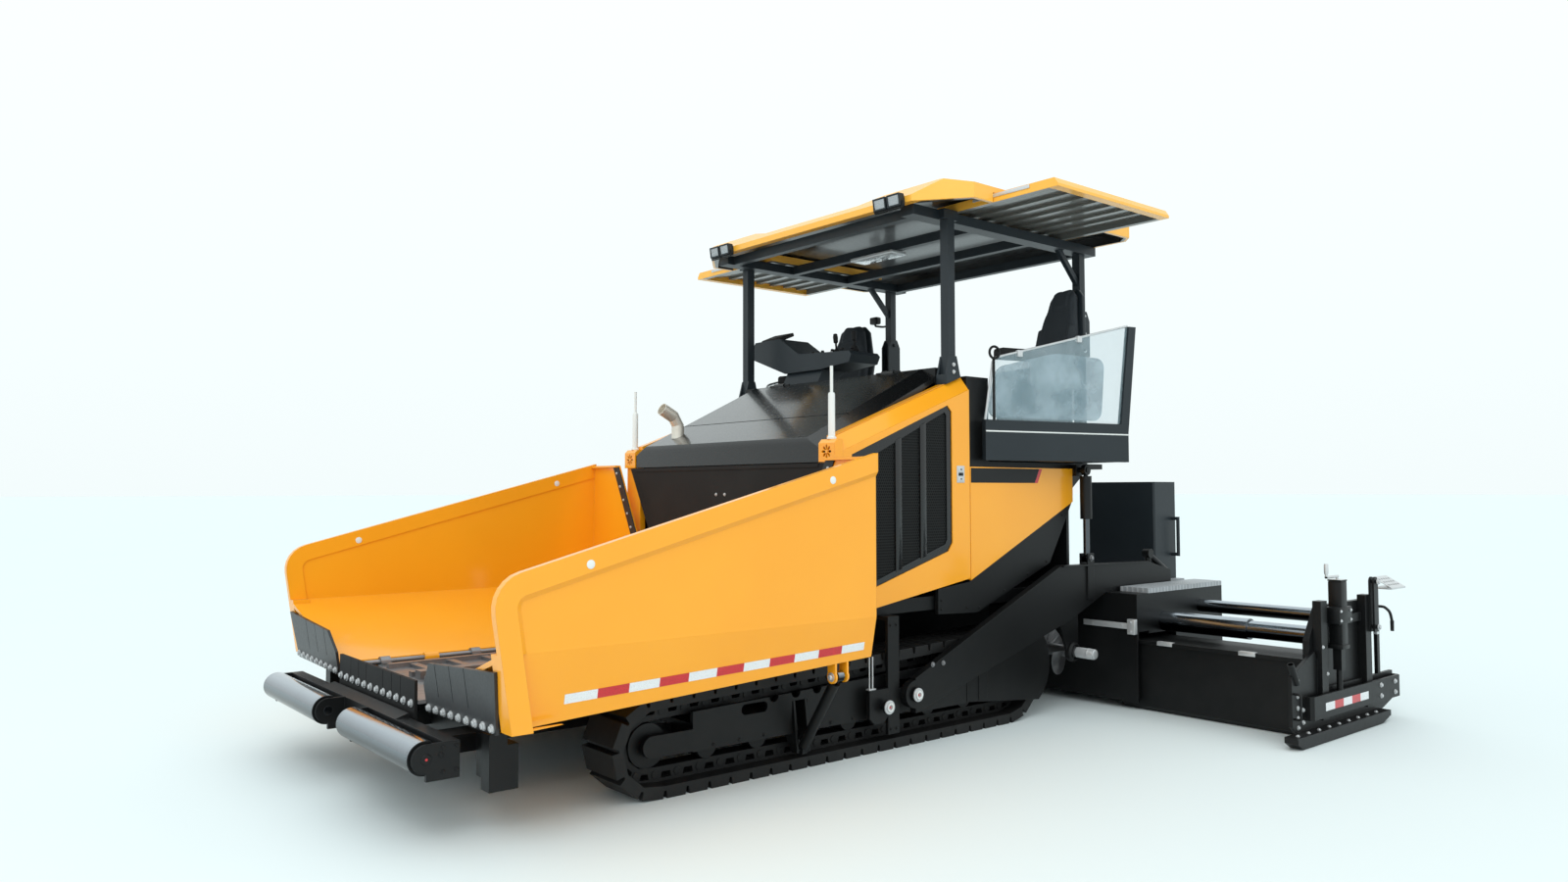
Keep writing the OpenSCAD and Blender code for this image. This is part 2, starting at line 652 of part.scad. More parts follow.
module wing(left) {
  color(paint) on_side(left) {
    difference() {
      union() {
        intersection() {
          translate([wing_rear_x, 0, 0]) rotate([90, 0, 90]) linear_extrude(wing_len + wing_corner_r)
            wing_section();
          union() {
            slab_y(wing_outline(wing_hinge_z - hinge_knuckle_r), wing_hinge_y,
              wing_outer_y - wing_skirt_in * 2);
            slab_y(wing_outline(wing_low_rear_z), wing_outer_y - wing_skirt_in * 2 - cut, wing_outer_y);
          }
        }
        // Inner thickness of the rim, and its front leg beside the skirt
        difference() {
          slab_y(wing_outline(wing_low_rear_z), wing_outer_y - wing_rim_t, wing_wall_y);
          slab_y(concat([[wing_rear_x - cut, wing_low_rear_z - wing_rim_w],
            [wing_front_at(wing_low_rear_z - wing_rim_w, wing_rim_w), wing_low_rear_z - wing_rim_w]],
            [for (p = wing_edge(wing_rim_w)) p - [p[0] == wing_rear_x ? cut : 0, 0]]),
            wing_outer_y - wing_rim_t - cut, wing_wall_y + cut);
        }
        slab_y([[wing_front_at(wing_low_front_z, wing_rim_w), wing_low_front_z], wing_front_foot,
          [wing_front_at(wing_crease_z + cut, 0), wing_crease_z + cut],
          [wing_front_at(wing_crease_z + cut, wing_rim_w), wing_crease_z + cut]],
          wing_outer_y - wing_skirt_in - wing_t, wing_outer_y);
        // Rear wall with its slanted edge and top flange
        slab_x([[wing_wall_y - wing_t / 2, wing_crease_z], [wing_wall_y - wing_t / 2,
          wing_rear_top_z - wing_t], for (i = [0:len(wing_rear_edge_ys) - 1]) [wing_rear_edge_ys[i],
          wing_rear_edge_zs[i]], [wing_floor_in_y + wing_t, wing_floor_in_z - wing_t / 2]], wing_rear_x,
          wing_rear_x + wing_t);
        slab_x([[wing_rear_edge_ys[0], wing_rear_edge_zs[0] - wing_t], [wing_wall_y - wing_t / 2,
          wing_rear_edge_zs[0] - wing_t], [wing_wall_y - wing_t / 2, wing_rear_edge_zs[0]],
          [wing_rear_edge_ys[0], wing_rear_edge_zs[0]]], wing_rear_x, wing_rear_x + wing_flange_w / 2);
        // Ribs between floor and skirt
        for (share = wing_rib_shares) {
          x = wing_rear_x + wing_len * share;
          slab_x([[wing_wall_y - wing_t * 2, wing_crease_z - wing_t], [wing_outer_y - wing_skirt_in,
            wing_low_rear_z], [wing_floor_in_y + wing_skirt_in, wing_floor_in_z + wing_t / 2]], x,
            x + wing_rib_t);
        }
        for (share = knuckle_shares) {
          x = hinge_rear_x + (hinge_front_x - hinge_rear_x) * share;
          bar_x(wing_hinge_y, wing_hinge_z, hinge_knuckle_r, x - knuckle_len / 2, x + knuckle_len / 2);
          block([x - knuckle_len / 2, wing_hinge_y, wing_hinge_z - hinge_knuckle_r / 2],
            [x + knuckle_len / 2, wing_floor_in_y + wing_t, wing_floor_in_z]);
        }
        // Clevis of the wing cylinder
        for (s = [-1, 1]) {
          x = wing_cyl_x + s * (wing_eye_half + wing_lug_gap + wing_lug_t / 2);
          translate([x - wing_lug_t / 2, 0, 0]) {
            bar_x(wing_eye_y, wing_eye_z, wing_eye_r + wing_clevis_rim, 0, wing_lug_t);
            block([0, wing_eye_y - wing_eye_r, wing_eye_z], [wing_lug_t, wing_eye_y + wing_eye_r,
              wing_low_rear_z + wing_skirt_in]);
          }
          translate([x + (s > 0 ? wing_lug_t / 2 : -wing_lug_t), 0, 0])
            bar_x(wing_eye_y, wing_eye_z, wing_pin_r, -wing_lug_t / 2, wing_lug_t);
        }
      }
      bar_x(wing_hinge_y, wing_hinge_z, hinge_pin_r + fit, hinge_rear_x, hinge_front_x);
      wing_pocket();
    }
  }
}

// Rubber flaps: one on each wing's front edge, one in the middle, each slit from the top
flap_t = 16;
flap_in = 10;
flap_out = 130;
flap_in_y = wing_floor_in_y + flap_in;
flap_out_y = wing_outer_y - flap_out;
flap_top_z = 835;
flap_low_z = 505;
flap_slit_w = 6;
flap_slit_shares = [0.22, 0.44, 0.66];
flap_slit_foot_share = 0.35;
mid_flap_half_w = 600;
mid_flap_low_z = 425;
mid_flap_top_z = 660;
module wing_flap(left) {
  slit_z = flap_low_z + (flap_top_z - flap_low_z) * flap_slit_foot_share;
  color(rubber) on_side(left) translate([wing_floor_front_x, 0, wing_low_front_z])
    rotate([0, wing_front_lean, 0]) translate([0, 0, -wing_low_front_z]) difference() {
      slab_x([[flap_in_y, flap_low_z + flap_t], [flap_out_y, flap_low_z + flap_t * 2],
        [wing_outer_y - wing_rim_t - flap_t, flap_top_z],
        [flap_in_y + wing_rim_w, flap_top_z - wing_rim_w / 2], [flap_in_y, mid_flap_top_z]], fit,
        fit + flap_t);
      for (share = flap_slit_shares) {
        y = flap_in_y + (flap_out_y - flap_in_y) * share;
        block([0, y, slit_z], [flap_t * 2, y + flap_slit_w, flap_top_z + cut]);
      }
    }
}

rear_apron_t = 20;
rear_apron_top_half_w = 1150;
rear_apron_low_half_w = 640;
hood_band_h = 200;
rear_apron_top_z = body_front_z + hood_rise - hood_band_h - gap;
apron_fold_h = 26;
module hopper_aprons() {
  slit_z = mid_flap_low_z + (mid_flap_top_z - mid_flap_low_z) * flap_slit_foot_share;
  color(rubber) {
    difference() {
      block([conveyor_front_x, -mid_flap_half_w, mid_flap_low_z], [conveyor_front_x + flap_t,
        mid_flap_half_w, mid_flap_top_z]);
      both() for (share = flap_slit_shares) {
        y = mid_flap_half_w * share;
        block([conveyor_front_x - cut, y, slit_z], [conveyor_front_x + flap_t + cut, y + flap_slit_w,
          mid_flap_top_z + cut]);
      }
    }
    slab_x([[-rear_apron_low_half_w, sill_z - deck_t], [rear_apron_low_half_w, sill_z - deck_t],
      [rear_apron_top_half_w, rear_apron_top_z], [-rear_apron_top_half_w, rear_apron_top_z]], body_nose_x,
      body_nose_x + rear_apron_t);
    block([body_nose_x + rear_apron_t - cut, -hood_half_w, rear_apron_top_z - apron_fold_h],
      [body_front_x, hood_half_w, rear_apron_top_z]);
  }
}

// Push beam and rollers
push_beam_x = 3085;
push_beam_t = 70;
push_beam_z0 = 330;
push_beam_z1 = 500;
push_end_y = 1250;
push_plate_t = 22;
push_mid_half_w = 190;
push_pin_r = 24;
push_in_y = push_end_y - push_plate_t - gap - push_len;
push_block_half_w = 150;
scraper_t = 30;
scraper_low_z = 205;
scraper_w = 180;
push_hub_r = 68;
push_cap_depth = 18;
push_cap_r = 62;
push_cover_t = 10;
leg_w = 90;
module push_bracket(y0, y1) {
  block([push_beam_x, y0, push_beam_z0 - push_plate_t], [push_x, y1, push_beam_z1 - push_plate_t]);
  bar_y(push_x, push_z, push_hub_r, y0, y1);
}
module push_beam() {
  nose_x = chassis_front_x + nose_t;
  cover_x = conveyor_front_x + flap_t + gap;
  color(black) difference() {
    union() {
      block([push_beam_x, -push_end_y, push_beam_z0], [push_beam_x + push_beam_t, push_end_y,
        push_beam_z1 - push_plate_t]);
      block([nose_x, -push_block_half_w, push_beam_z0], [push_beam_x + cut, push_block_half_w,
        push_beam_z1 - push_plate_t * 4]);
      // Sloping cover over the beam
      slab_y([[cover_x, push_beam_z1 - push_plate_t * 2 - push_cover_t],
        [cover_x, push_beam_z1 - push_plate_t * 2], [push_beam_x, push_beam_z1],
        [push_beam_x + push_beam_t, push_beam_z1 - push_plate_t],
        [push_beam_x, push_beam_z1 - push_plate_t * 2]], -mid_flap_half_w, mid_flap_half_w);
      both() {
        push_bracket(push_end_y - push_plate_t, push_end_y);
        push_bracket(push_in_y - gap - push_plate_t, push_in_y - gap);
        // Leg and scraper ahead of each track
        block([nose_x, nose_half_w - scraper_w, push_beam_z0], [push_beam_x + cut, nose_half_w,
          push_beam_z0 + scraper_w / 2]);
        block([nose_x, nose_half_w, scraper_low_z], [nose_x + scraper_t * 2, push_end_y,
          push_beam_z0 + scraper_w / 2]);
        block([nose_x + scraper_t * 2 - cut, push_end_y - leg_w, scraper_low_z],
          [nose_x + scraper_t * 5, push_end_y, push_beam_z1 - push_plate_t]);
      }
    }
    both() bar_y(push_x, push_z, push_pin_r + fit, push_in_y - push_mid_half_w, push_end_y + cut);
  }
}

module push_roller(left) {
  color(steel) on_side(left) {
    difference() {
      bar_y(push_x, push_z, push_r, push_in_y, push_in_y + push_len);
      bar_y(push_x, push_z, push_cap_r, push_in_y - cut, push_in_y + push_cap_depth);
      bar_y(push_x, push_z, push_cap_r, push_in_y + push_len - push_cap_depth,
        push_in_y + push_len + cut);
    }
    bar_y(push_x, push_z, push_pin_r, push_in_y - gap - push_plate_t, push_end_y);
  }
}

// Body sides
body_slope = (body_mid_z - body_front_z) / (body_front_x - body_mid_x);
function body_top_at(x) = body_front_z + (body_front_x - x) * body_slope;
door_back = 70;
door_front_x = body_front_x - door_back;
door_rear_x = body_mid_x;
door_low_front_z = 850;
door_low_rear_z = 1034;
rail_h = 90;
corner_w = 150;
quarter_drop = 40;
quarter_top_z = deck_z - quarter_drop;
quarter_low_front_z = 1020;
quarter_low_rear_z = 1550;
quarter_t = 30;
body_in_y = body_outer_y - panel_t;

door_flange_in = 78;
door_flange_h = 92;
rail_out_y = body_outer_y - door_flange_in - gap;
vent_r = 46;
vent_hub_r = 12;
vent_w = 17;
vent_depth = 14;
vent_drop = 78;
vent_count = 8;
body_fall = atan(body_slope);
// Hinges of the doors: knuckles on the door round a pin in the front corner
door_knuckle_r = 13;
door_pin_r = 6;
door_knuckle_len = 90;
door_knuckle_zs = [1120, 1640];
module door_hinge_room() {
  for (z = door_knuckle_zs) translate([door_front_x, body_outer_y, z - gap])
    cylinder(h = door_knuckle_len + 2 * gap, r = door_knuckle_r + gap / 2);
}
module door_pins(grow, reach) {
  for (z = door_knuckle_zs) translate([door_front_x, body_outer_y, z - reach])
    cylinder(h = door_knuckle_len + 2 * reach, r = door_pin_r + grow);
}
// Eight petals cut into the front corner
module vent_petals() {
  translate([body_front_x - vent_depth, (hood_half_w + gap + body_outer_y) / 2, body_front_z - vent_drop])
    rotate([90, 0, 90])
    linear_extrude(vent_depth + cut) for (i = [0:vent_count - 1]) rotate(i * 360 / vent_count)
      polygon([[vent_hub_r, -vent_w / 4], [vent_r * 3 / 4, -vent_w / 2], [vent_r, 0],
        [vent_r * 3 / 4, vent_w / 2], [vent_hub_r, vent_w / 4]]);
}
module side_panels() {
  color(paint) both() {
    // Top rail beside the hood
    slab_y([[door_front_x, body_top_at(door_front_x)], [body_mid_x, body_mid_z],
      [body_mid_x, body_mid_z - rail_h], [door_front_x, body_top_at(door_front_x) - rail_h]],
      hood_half_w + gap, rail_out_y);
    // Front corner with the vent
    difference() {
      union() {
        block([door_front_x, body_in_y - corner_w, sill_z], [body_nose_x, body_outer_y,
          rear_apron_top_z + cut]);
        slab_y([[door_front_x, rear_apron_top_z + gap], [body_front_x, rear_apron_top_z + gap],
          [body_front_x, body_front_z - nose_back], [body_front_x - nose_back, body_front_z],
          [door_front_x, body_front_z]], hood_half_w + gap, body_outer_y);
        block([door_front_x, hood_half_w + gap, rear_apron_top_z], [body_nose_x, body_outer_y,
          rear_apron_top_z + gap + cut]);
      }
      vent_petals();
      door_hinge_room();
    }
    door_pins(0, door_knuckle_len / 3);
    // Rear quarter
    slab_y([[door_rear_x - gap, quarter_low_front_z], [door_rear_x - gap, quarter_top_z],
      [body_rear_x, quarter_top_z], [body_rear_x, quarter_low_rear_z]], body_outer_y - quarter_t,
      body_outer_y);
  }
}

// Black lower side panels
lower_front_x = -240;
lower_front_z = 810;
lower_mid_x = -640;
lower_mid_z = 795;
lower_rear_x = -1460;
lower_rear_z = 1100;
lower_step = 8;
module lower_panels() {
  color(black) both() slab_y([[lower_front_x, lower_front_z],
    [lower_front_x, door_low_at(lower_front_x) - gap], [door_rear_x - gap, door_low_rear_z - gap * 4],
    [door_rear_x - gap, quarter_low_front_z], [body_rear_x, quarter_low_rear_z],
    [lower_rear_x, lower_rear_z], [lower_mid_x, lower_mid_z]], body_outer_y - quarter_t - lower_step,
    body_outer_y - lower_step);
}

// Engine doors with their grilles
function door_low_at(x) =
  door_low_front_z + (door_front_x - x) * (door_low_rear_z - door_low_front_z)
    / (door_front_x - door_rear_x);
grille_rear_x = -380;
grille_front_x = 554;
grille_top_drop = 150;
grille_low_rear_z = 1241;
grille_low_front_z = 965;
grille_corner = 42;
grille_top_rear_z = body_top_at(grille_rear_x) - grille_top_drop;
grille_points = [[grille_front_x, body_top_at(grille_front_x) - grille_top_drop],
  [grille_rear_x + grille_corner, grille_top_rear_z], [grille_rear_x, grille_top_rear_z - grille_corner],
  [grille_rear_x, grille_low_rear_z + grille_corner], [grille_rear_x + grille_corner,
  grille_low_rear_z - grille_corner / 3], [grille_front_x, grille_low_front_z]];
grille_bar_w = 62;
grille_bar_shares = [0.30, 0.55, 0.80];
grille_frame_w = 48;
grille_in = 16;
grille_mesh_t = 6;
grille_slot_h = 16;
grille_slot_pitch = 46;
door_top_drop = door_flange_h;
// Door: flat panel, with a top edge that folds inwards along the slope
module door(left) {
  color(paint) on_side(left) difference() {
    union() {
      slab_y([[door_front_x - fit, door_low_at(door_front_x)],
        [door_front_x - fit, body_top_at(door_front_x) - gap - door_top_drop],
        [door_rear_x, body_top_at(door_rear_x) - gap - door_top_drop], [door_rear_x, door_low_rear_z]],
        body_in_y, body_outer_y);
      intersection() {
        translate([door_front_x, 0, body_top_at(door_front_x) - gap]) rotate([0, body_fall, 0])
          slab_x([[body_outer_y, -door_top_drop], [body_outer_y - door_flange_in, 0],
            [body_outer_y - door_flange_in, -panel_t], [body_in_y, -door_top_drop - cut],
            [body_outer_y, -door_top_drop - cut]], (door_rear_x - door_front_x) * 2, door_back);
        block([door_rear_x, 0, 0], [door_front_x - fit, wing_outer_y, deck_z * 2]);
      }
      for (z = door_knuckle_zs) translate([door_front_x, body_outer_y, z])
        cylinder(h = door_knuckle_len, r = door_knuckle_r);
    }
    slab_y(grille_points, body_in_y - cut, body_outer_y + cut);
    door_pins(fit, door_knuckle_len / 2);
  }
}

// Outline of the grille drawn in by its frame
function grille_inset(w) = [grille_points[0] + [-w * 2, -w], grille_points[1] + [w / 2, -w],
  grille_points[2] + [w, -w / 2], grille_points[3] + [w, w / 2], grille_points[4] + [w / 2, w],
  grille_points[5] + [-w, w]];
grille_slot_count = floor((grille_top_rear_z - grille_low_front_z) / grille_slot_pitch);
module grille(left) {
  color(black) on_side(left) {
    difference() {
      slab_y(grille_points, body_in_y + grille_in / 2, body_outer_y - grille_in / 2);
      slab_y(grille_inset(grille_frame_w), body_in_y, body_outer_y);
    }
    // Upright bars over a slotted plate
    intersection() {
      slab_y(grille_inset(grille_frame_w / 2), body_in_y, body_outer_y);
      for (share = grille_bar_shares) {
        x = grille_rear_x + (grille_front_x - grille_rear_x) * share;
        block([x - grille_bar_w / 2, body_in_y + grille_in, 0],
          [x + grille_bar_w / 2, body_outer_y - grille_in, deck_z * 2]);
      }
    }
    difference() {
      slab_y(grille_inset(grille_frame_w / 2), body_in_y + grille_in,
        body_in_y + grille_in + grille_mesh_t);
      for (i = [1:grille_slot_count]) {
        z = grille_low_front_z + i * grille_slot_pitch;
        block([grille_rear_x, body_in_y, z], [grille_front_x, body_outer_y, z + grille_slot_h]);
      }
    }
  }
}

// Hood: sloping shell with chamfered sides, a rounded front and a seam across
hood_t = 40;
hood_back = 8;
hood_front_x = body_front_x - hood_back;
hood_rear_x = -386;
hood_lip_r = 90;
hood_front_z = body_front_z + hood_rise;
hood_slope = (body_mid_z + hood_rise - hood_front_z) / (hood_front_x - hood_lip_r - hood_rear_x);
hood_fall = atan(hood_slope);
function hood_top_at(x) = hood_front_z + (hood_front_x - hood_lip_r - x) * hood_slope;
hood_skirt = 40;
hood_side_h = hood_rise + hood_skirt;
hood_side_t = 24;
hood_chamfer_w = 130;
hood_seam_x = 330;
hood_seam_w = 12;
hood_seam_h = 8;
hood_top_z = body_mid_z + hood_rise;
hood_knuckle_r = 16;
hood_pin_r = 8;
hood_knuckle_len = 120;
hood_knuckle_share = 0.52;
hood_knuckle_y = hood_half_w * hood_knuckle_share;
// Side profile, drawn in by a thickness
function hood_profile(inset) = concat([[hood_front_x - inset, hood_front_z - hood_band_h
  - (inset > 0 ? cut : 0)]], arc([hood_front_x - hood_lip_r, hood_front_z - hood_lip_r * cos(hood_fall)],
  hood_lip_r - inset, 0, 90 - hood_fall, arc_steps),
  [[hood_rear_x - (inset > 0 ? cut : 0), hood_top_at(hood_rear_x) - inset],
  [hood_rear_x - (inset > 0 ? cut : 0), hood_front_z - hood_band_h - (inset > 0 ? cut : 0)]]);
// Section across, chamfered at both sides and laid along the slope
module hood_prism(inset) {
  half = hood_half_w - inset;
  drop = hood_rise + inset / 2;
  translate([hood_front_x - hood_lip_r, 0, hood_front_z]) rotate([0, hood_fall, 0])
    slab_x([[-half, -deck_z], [-half, -drop], [-half + hood_chamfer_w, 0], [half - hood_chamfer_w, 0],
      [half, -drop], [half, -deck_z]], -deck_z, deck_z);
}
module hood() {
  color(black) difference() {
    union() {
      intersection() {
        slab_y(hood_profile(0), -hood_half_w, hood_half_w);
        hood_prism(0);
      }
      both() bar_y(hood_rear_x, hood_top_z, hood_knuckle_r, hood_knuckle_y,
        hood_knuckle_y + hood_knuckle_len);
    }
    intersection() {
      slab_y(hood_profile(hood_t), -hood_half_w, hood_half_w);
      hood_prism(hood_side_t);
    }
    // Open below the side skirts
    slab_y([[hood_front_x - hood_t, 0], [hood_front_x - hood_t, hood_front_z - hood_side_h - hood_lip_r],
      [hood_rear_x - cut, hood_top_at(hood_rear_x) - hood_side_h], [hood_rear_x - cut, 0]],
      -hood_half_w - cut, hood_half_w + cut);
    translate([hood_seam_x, 0, hood_top_at(hood_seam_x)]) rotate([0, hood_fall, 0])
      block([-hood_seam_w / 2, -hood_half_w - cut, -hood_seam_h], [hood_seam_w / 2, hood_half_w + cut,
        hood_rise]);
    translate([exhaust_x, exhaust_y, exhaust_z - hood_t]) cylinder(h = hood_t * 3, r = exhaust_r + fit);
    both() bar_y(hood_rear_x, hood_top_z, hood_pin_r + fit, hood_knuckle_y - hood_knuckle_len,
      hood_knuckle_y + hood_knuckle_len * 2);
  }
}

// Exhaust elbow on the hood, bent in two steps
exhaust_share = 0.70;
exhaust_y = -hood_half_w * exhaust_share;
exhaust_x = 520;
exhaust_r = 48;
exhaust_bend_r = 45;
exhaust_wall = 5;
exhaust_turn = 62;
exhaust_foot_h = 100;
exhaust_knee = 80;
exhaust_lap = 12;
exhaust_end_len = 120;
exhaust_z = hood_top_at(exhaust_x) - hood_t / 2;
function exhaust_lean(a) = [sin(a), 0, cos(a)];
module exhaust() {
  foot = [exhaust_x, exhaust_y, exhaust_z];
  low = foot + exhaust_foot_h * exhaust_lean(0);
  high = low + exhaust_knee * exhaust_lean(exhaust_turn / 2);
  tip = high + exhaust_end_len * exhaust_lean(exhaust_turn);
  color(steel) difference() {
    union() {
      bar_to(foot, low, exhaust_r, 0, exhaust_foot_h);
      bar_to(low, high, exhaust_bend_r, -exhaust_lap, exhaust_knee + exhaust_lap);
      bar_to(high, tip, exhaust_r, 0, exhaust_end_len);
    }
    bar_to(high, tip, exhaust_r - exhaust_wall, exhaust_end_len / 2, exhaust_end_len + cut);
  }
}

// Marker poles on the front corners, in two steps
pole_back = 47;
pole_x = body_front_x - pole_back;
pole_y = hood_half_w + shoulder_w / 2;
pole_r = 16;
pole_h = 290;
pole_top_r = 10;
pole_top_h = 170;
module light_poles() {
  color(pale) both() translate([pole_x, pole_y, body_front_z]) {
    cylinder(h = pole_h, r = pole_r);
    cylinder(h = pole_h + pole_top_h, r = pole_top_r);
  }
}

// Operator's platform: deck, rear wall and front bulkhead
platform_rear_x = -2180;
platform_t = 40;
bulkhead_x = body_mid_x - gap;
bulkhead_t = 50;
bulkhead_wing_len = 240;
bulkhead_wing_x = body_mid_x - bulkhead_wing_len;
rear_wall_t = 30;
lift_lug_out = 20;
lift_lug_y = body_outer_y + lift_lug_out;
lift_lug_t = 15;
lift_lug_r = 46;
lift_pin_r = 20;
lift_eye_y0 = arm_y + gap;
lift_eye_y1 = arm_y + arm_t - gap;
bracket_depth = 160;
platform_half_w = body_outer_y - quarter_t;
rear_wall_half_w = platform_half_w - lower_step;
module platform() {
  color(black) {
    block([platform_rear_x, -platform_half_w, deck_z - platform_t], [bulkhead_x, platform_half_w,
      deck_z]);
    block([body_rear_x, -rear_wall_half_w, sill_z], [body_rear_x + rear_wall_t, rear_wall_half_w,
      deck_z - platform_t + cut]);
    both() {
      slab_y([[platform_rear_x, deck_z - platform_t], [body_rear_x, deck_z - platform_t],
        [body_rear_x, deck_z - platform_t - bracket_depth * 2]], body_in_y - bracket_depth,
        body_in_y - bracket_depth + rear_wall_t);
      // Lug and pin of the lift cylinder
      block([lift_x, body_in_y - bracket_depth, lift_top_z - lift_lug_r],
        [body_rear_x, lift_lug_y + lift_lug_t, lift_top_z + lift_lug_r - gap]);
      bar_y(lift_x, lift_top_z, lift_lug_r - gap, lift_lug_y, lift_lug_y + lift_lug_t);
      bar_y(lift_x, lift_top_z, lift_pin_r, lift_lug_y, lift_eye_y1 + gap);
    }
    block([bulkhead_x - bulkhead_t, -platform_half_w, deck_z - cut], [bulkhead_x, platform_half_w,
      body_mid_z]);
    both() block([bulkhead_wing_x, platform_half_w - bulkhead_t, deck_z - cut],
      [bulkhead_x, platform_half_w, body_mid_z]);
    // Cowl between the bulkhead and the hood's hinge
    difference() {
      block([bulkhead_x - cut, -hood_half_w, body_mid_z - hood_rise], [hood_rear_x - fit, hood_half_w,
        hood_top_z]);
      both() bar_y(hood_rear_x, hood_top_z, hood_knuckle_r + gap, hood_knuckle_y - gap,
        hood_knuckle_y + hood_knuckle_len + gap);
    }
    both() bar_y(hood_rear_x, hood_top_z, hood_pin_r, hood_knuckle_y - hood_knuckle_len / 2,
      hood_knuckle_y + hood_knuckle_len * 3 / 2);
    // Pins that the stations swing on
    both() translate([station_x, station_y, deck_z - cut]) cylinder(h = gap + station_floor_t + cut,
      r = station_pin_r - fit);
  }
}

// Control console: a desk across the right side, raised at its outer end, on a leaning foot
console_over = 60;
console_out_y = -body_outer_y - console_over;
console_in_y = -40;
console_high_len = 360;
console_slope_len = 250;
console_high_y = console_out_y + console_high_len;
console_low_y = console_high_y + console_slope_len;
console_high_z = 2930;
console_low_z = 2775;
console_deep = 150;
console_back_x = -960;
console_front_x = -640;
console_lip = 30;
console_foot_y0 = -860;
console_foot_y1 = -410;
module console() {
  under_z = console_low_z - console_deep;
  color(slate) {
    slab_x([[console_out_y, console_high_z - console_deep], [console_out_y, console_high_z - console_lip],
      [console_out_y + console_lip, console_high_z], [console_high_y, console_high_z],
      [console_low_y, console_low_z], [console_in_y - console_lip, console_low_z - console_lip],
      [console_in_y, console_low_z - console_lip * 2], [console_in_y - console_lip,
      under_z + console_lip], [console_foot_y1, under_z], [console_foot_y0, under_z]], console_back_x,
      console_front_x);
    slab_y([[bulkhead_x - cut, body_mid_z], [bulkhead_x - bulkhead_t, body_mid_z],
      [console_back_x + console_lip, under_z + cut], [console_front_x - console_lip, under_z + cut]],
      console_foot_y0, console_foot_y1);
  }
}

// Roof posts and frame
post_w = 70;
foot_ear_t = 14;
post_y = hood_half_w + gap + foot_ear_t + post_w / 2;
front_post_ahead = 105;
front_post_x = bulkhead_x + front_post_ahead;
rear_post_x = -2110;
rear_post_in = 177;
rear_post_y = body_outer_y - rear_post_in;
roof_rear_x = roof_front_x - roof_len;
roof_beam_h = 70;
roof_beam_w = 60;
roof_frame_z = roof_z - roof_beam_h;
cross_beam_count = 4;
brace_len = 230;
brace_w = 60;
front_foot_h = 16;
foot_ear_h = 130;
pivot_z0 = 2700;
pivot_z1 = 3060;
pivot_w = 150;
pivot_t = 14;
pivot_pin_r = 16;
module roof_frame() {
  foot_z = body_top_at(front_post_x - post_w) + front_foot_h;
  color(slate) {
    both() {
      // Front posts stand on the top rail beside the bulkhead, between two ears
      block([front_post_x - post_w / 2, post_y - post_w / 2, foot_z - cut], [front_post_x + post_w / 2,
        post_y + post_w / 2, roof_frame_z]);
      slab_y([[front_post_x + post_w, body_top_at(front_post_x + post_w) + fit],
        [front_post_x + post_w, foot_z], [front_post_x - post_w, foot_z],
        [front_post_x - post_w, body_top_at(front_post_x - post_w) + fit]], hood_half_w + gap,
        post_y + post_w / 2 + foot_ear_t);
      for (y = [post_y - post_w / 2 - foot_ear_t + cut, post_y + post_w / 2 - cut]) {
        slab_y([[front_post_x - post_w, foot_z - cut], [front_post_x - post_w / 2, foot_z + foot_ear_h],
          [front_post_x + post_w / 2, foot_z + foot_ear_h], [front_post_x + post_w, foot_z - cut]], y,
          y + foot_ear_t);
      }
      // Rear posts stand on the deck, with folding plates and a brace
      block([rear_post_x - post_w / 2, rear_post_y - post_w / 2, deck_z], [rear_post_x + post_w / 2,
        rear_post_y + post_w / 2, roof_frame_z]);
      for (y = [rear_post_y - post_w / 2 - pivot_t + cut, rear_post_y + post_w / 2 - cut]) {
        slab_y([[rear_post_x - pivot_w / 2, pivot_z0], [rear_post_x - pivot_w / 2,
          pivot_z1 - pivot_w / 2], [rear_post_x - pivot_w / 4, pivot_z1], [rear_post_x + pivot_w / 4,
          pivot_z1], [rear_post_x + pivot_w / 2, pivot_z1 - pivot_w / 2], [rear_post_x + pivot_w / 2,
          pivot_z0]], y, y + pivot_t);
      }
      for (z = [pivot_z0 + pivot_w / 3, pivot_z1 - pivot_w / 3]) {
        bar_y(rear_post_x, z, pivot_pin_r, rear_post_y - post_w / 2 - pivot_t * 2,
          rear_post_y + post_w / 2 + pivot_t * 2);
      }
      slab_y([[rear_post_x, roof_frame_z - brace_len - brace_w], [rear_post_x, roof_frame_z - brace_len],
        [rear_post_x + brace_len, roof_frame_z + cut], [rear_post_x + brace_len + brace_w,
        roof_frame_z + cut]], rear_post_y - post_w / 4, rear_post_y + post_w / 4);
      // Long beams
      block([roof_rear_x, rear_post_y - roof_beam_w, roof_frame_z], [roof_front_x - roof_fascia_t,
        rear_post_y + roof_beam_w, roof_z]);
      block([front_post_x - post_w, rear_post_y, roof_frame_z],
        [front_post_x + post_w, post_y + post_w / 2, roof_z]);
    }
    for (i = [0:cross_beam_count - 1]) {
      x = roof_rear_x + roof_beam_w
        + (roof_len - 3 * roof_beam_w - roof_fascia_t) * i / (cross_beam_count - 1);
      block([x, -rear_post_y, roof_frame_z], [x + roof_beam_w, rear_post_y, roof_z]);
    }
  }
}

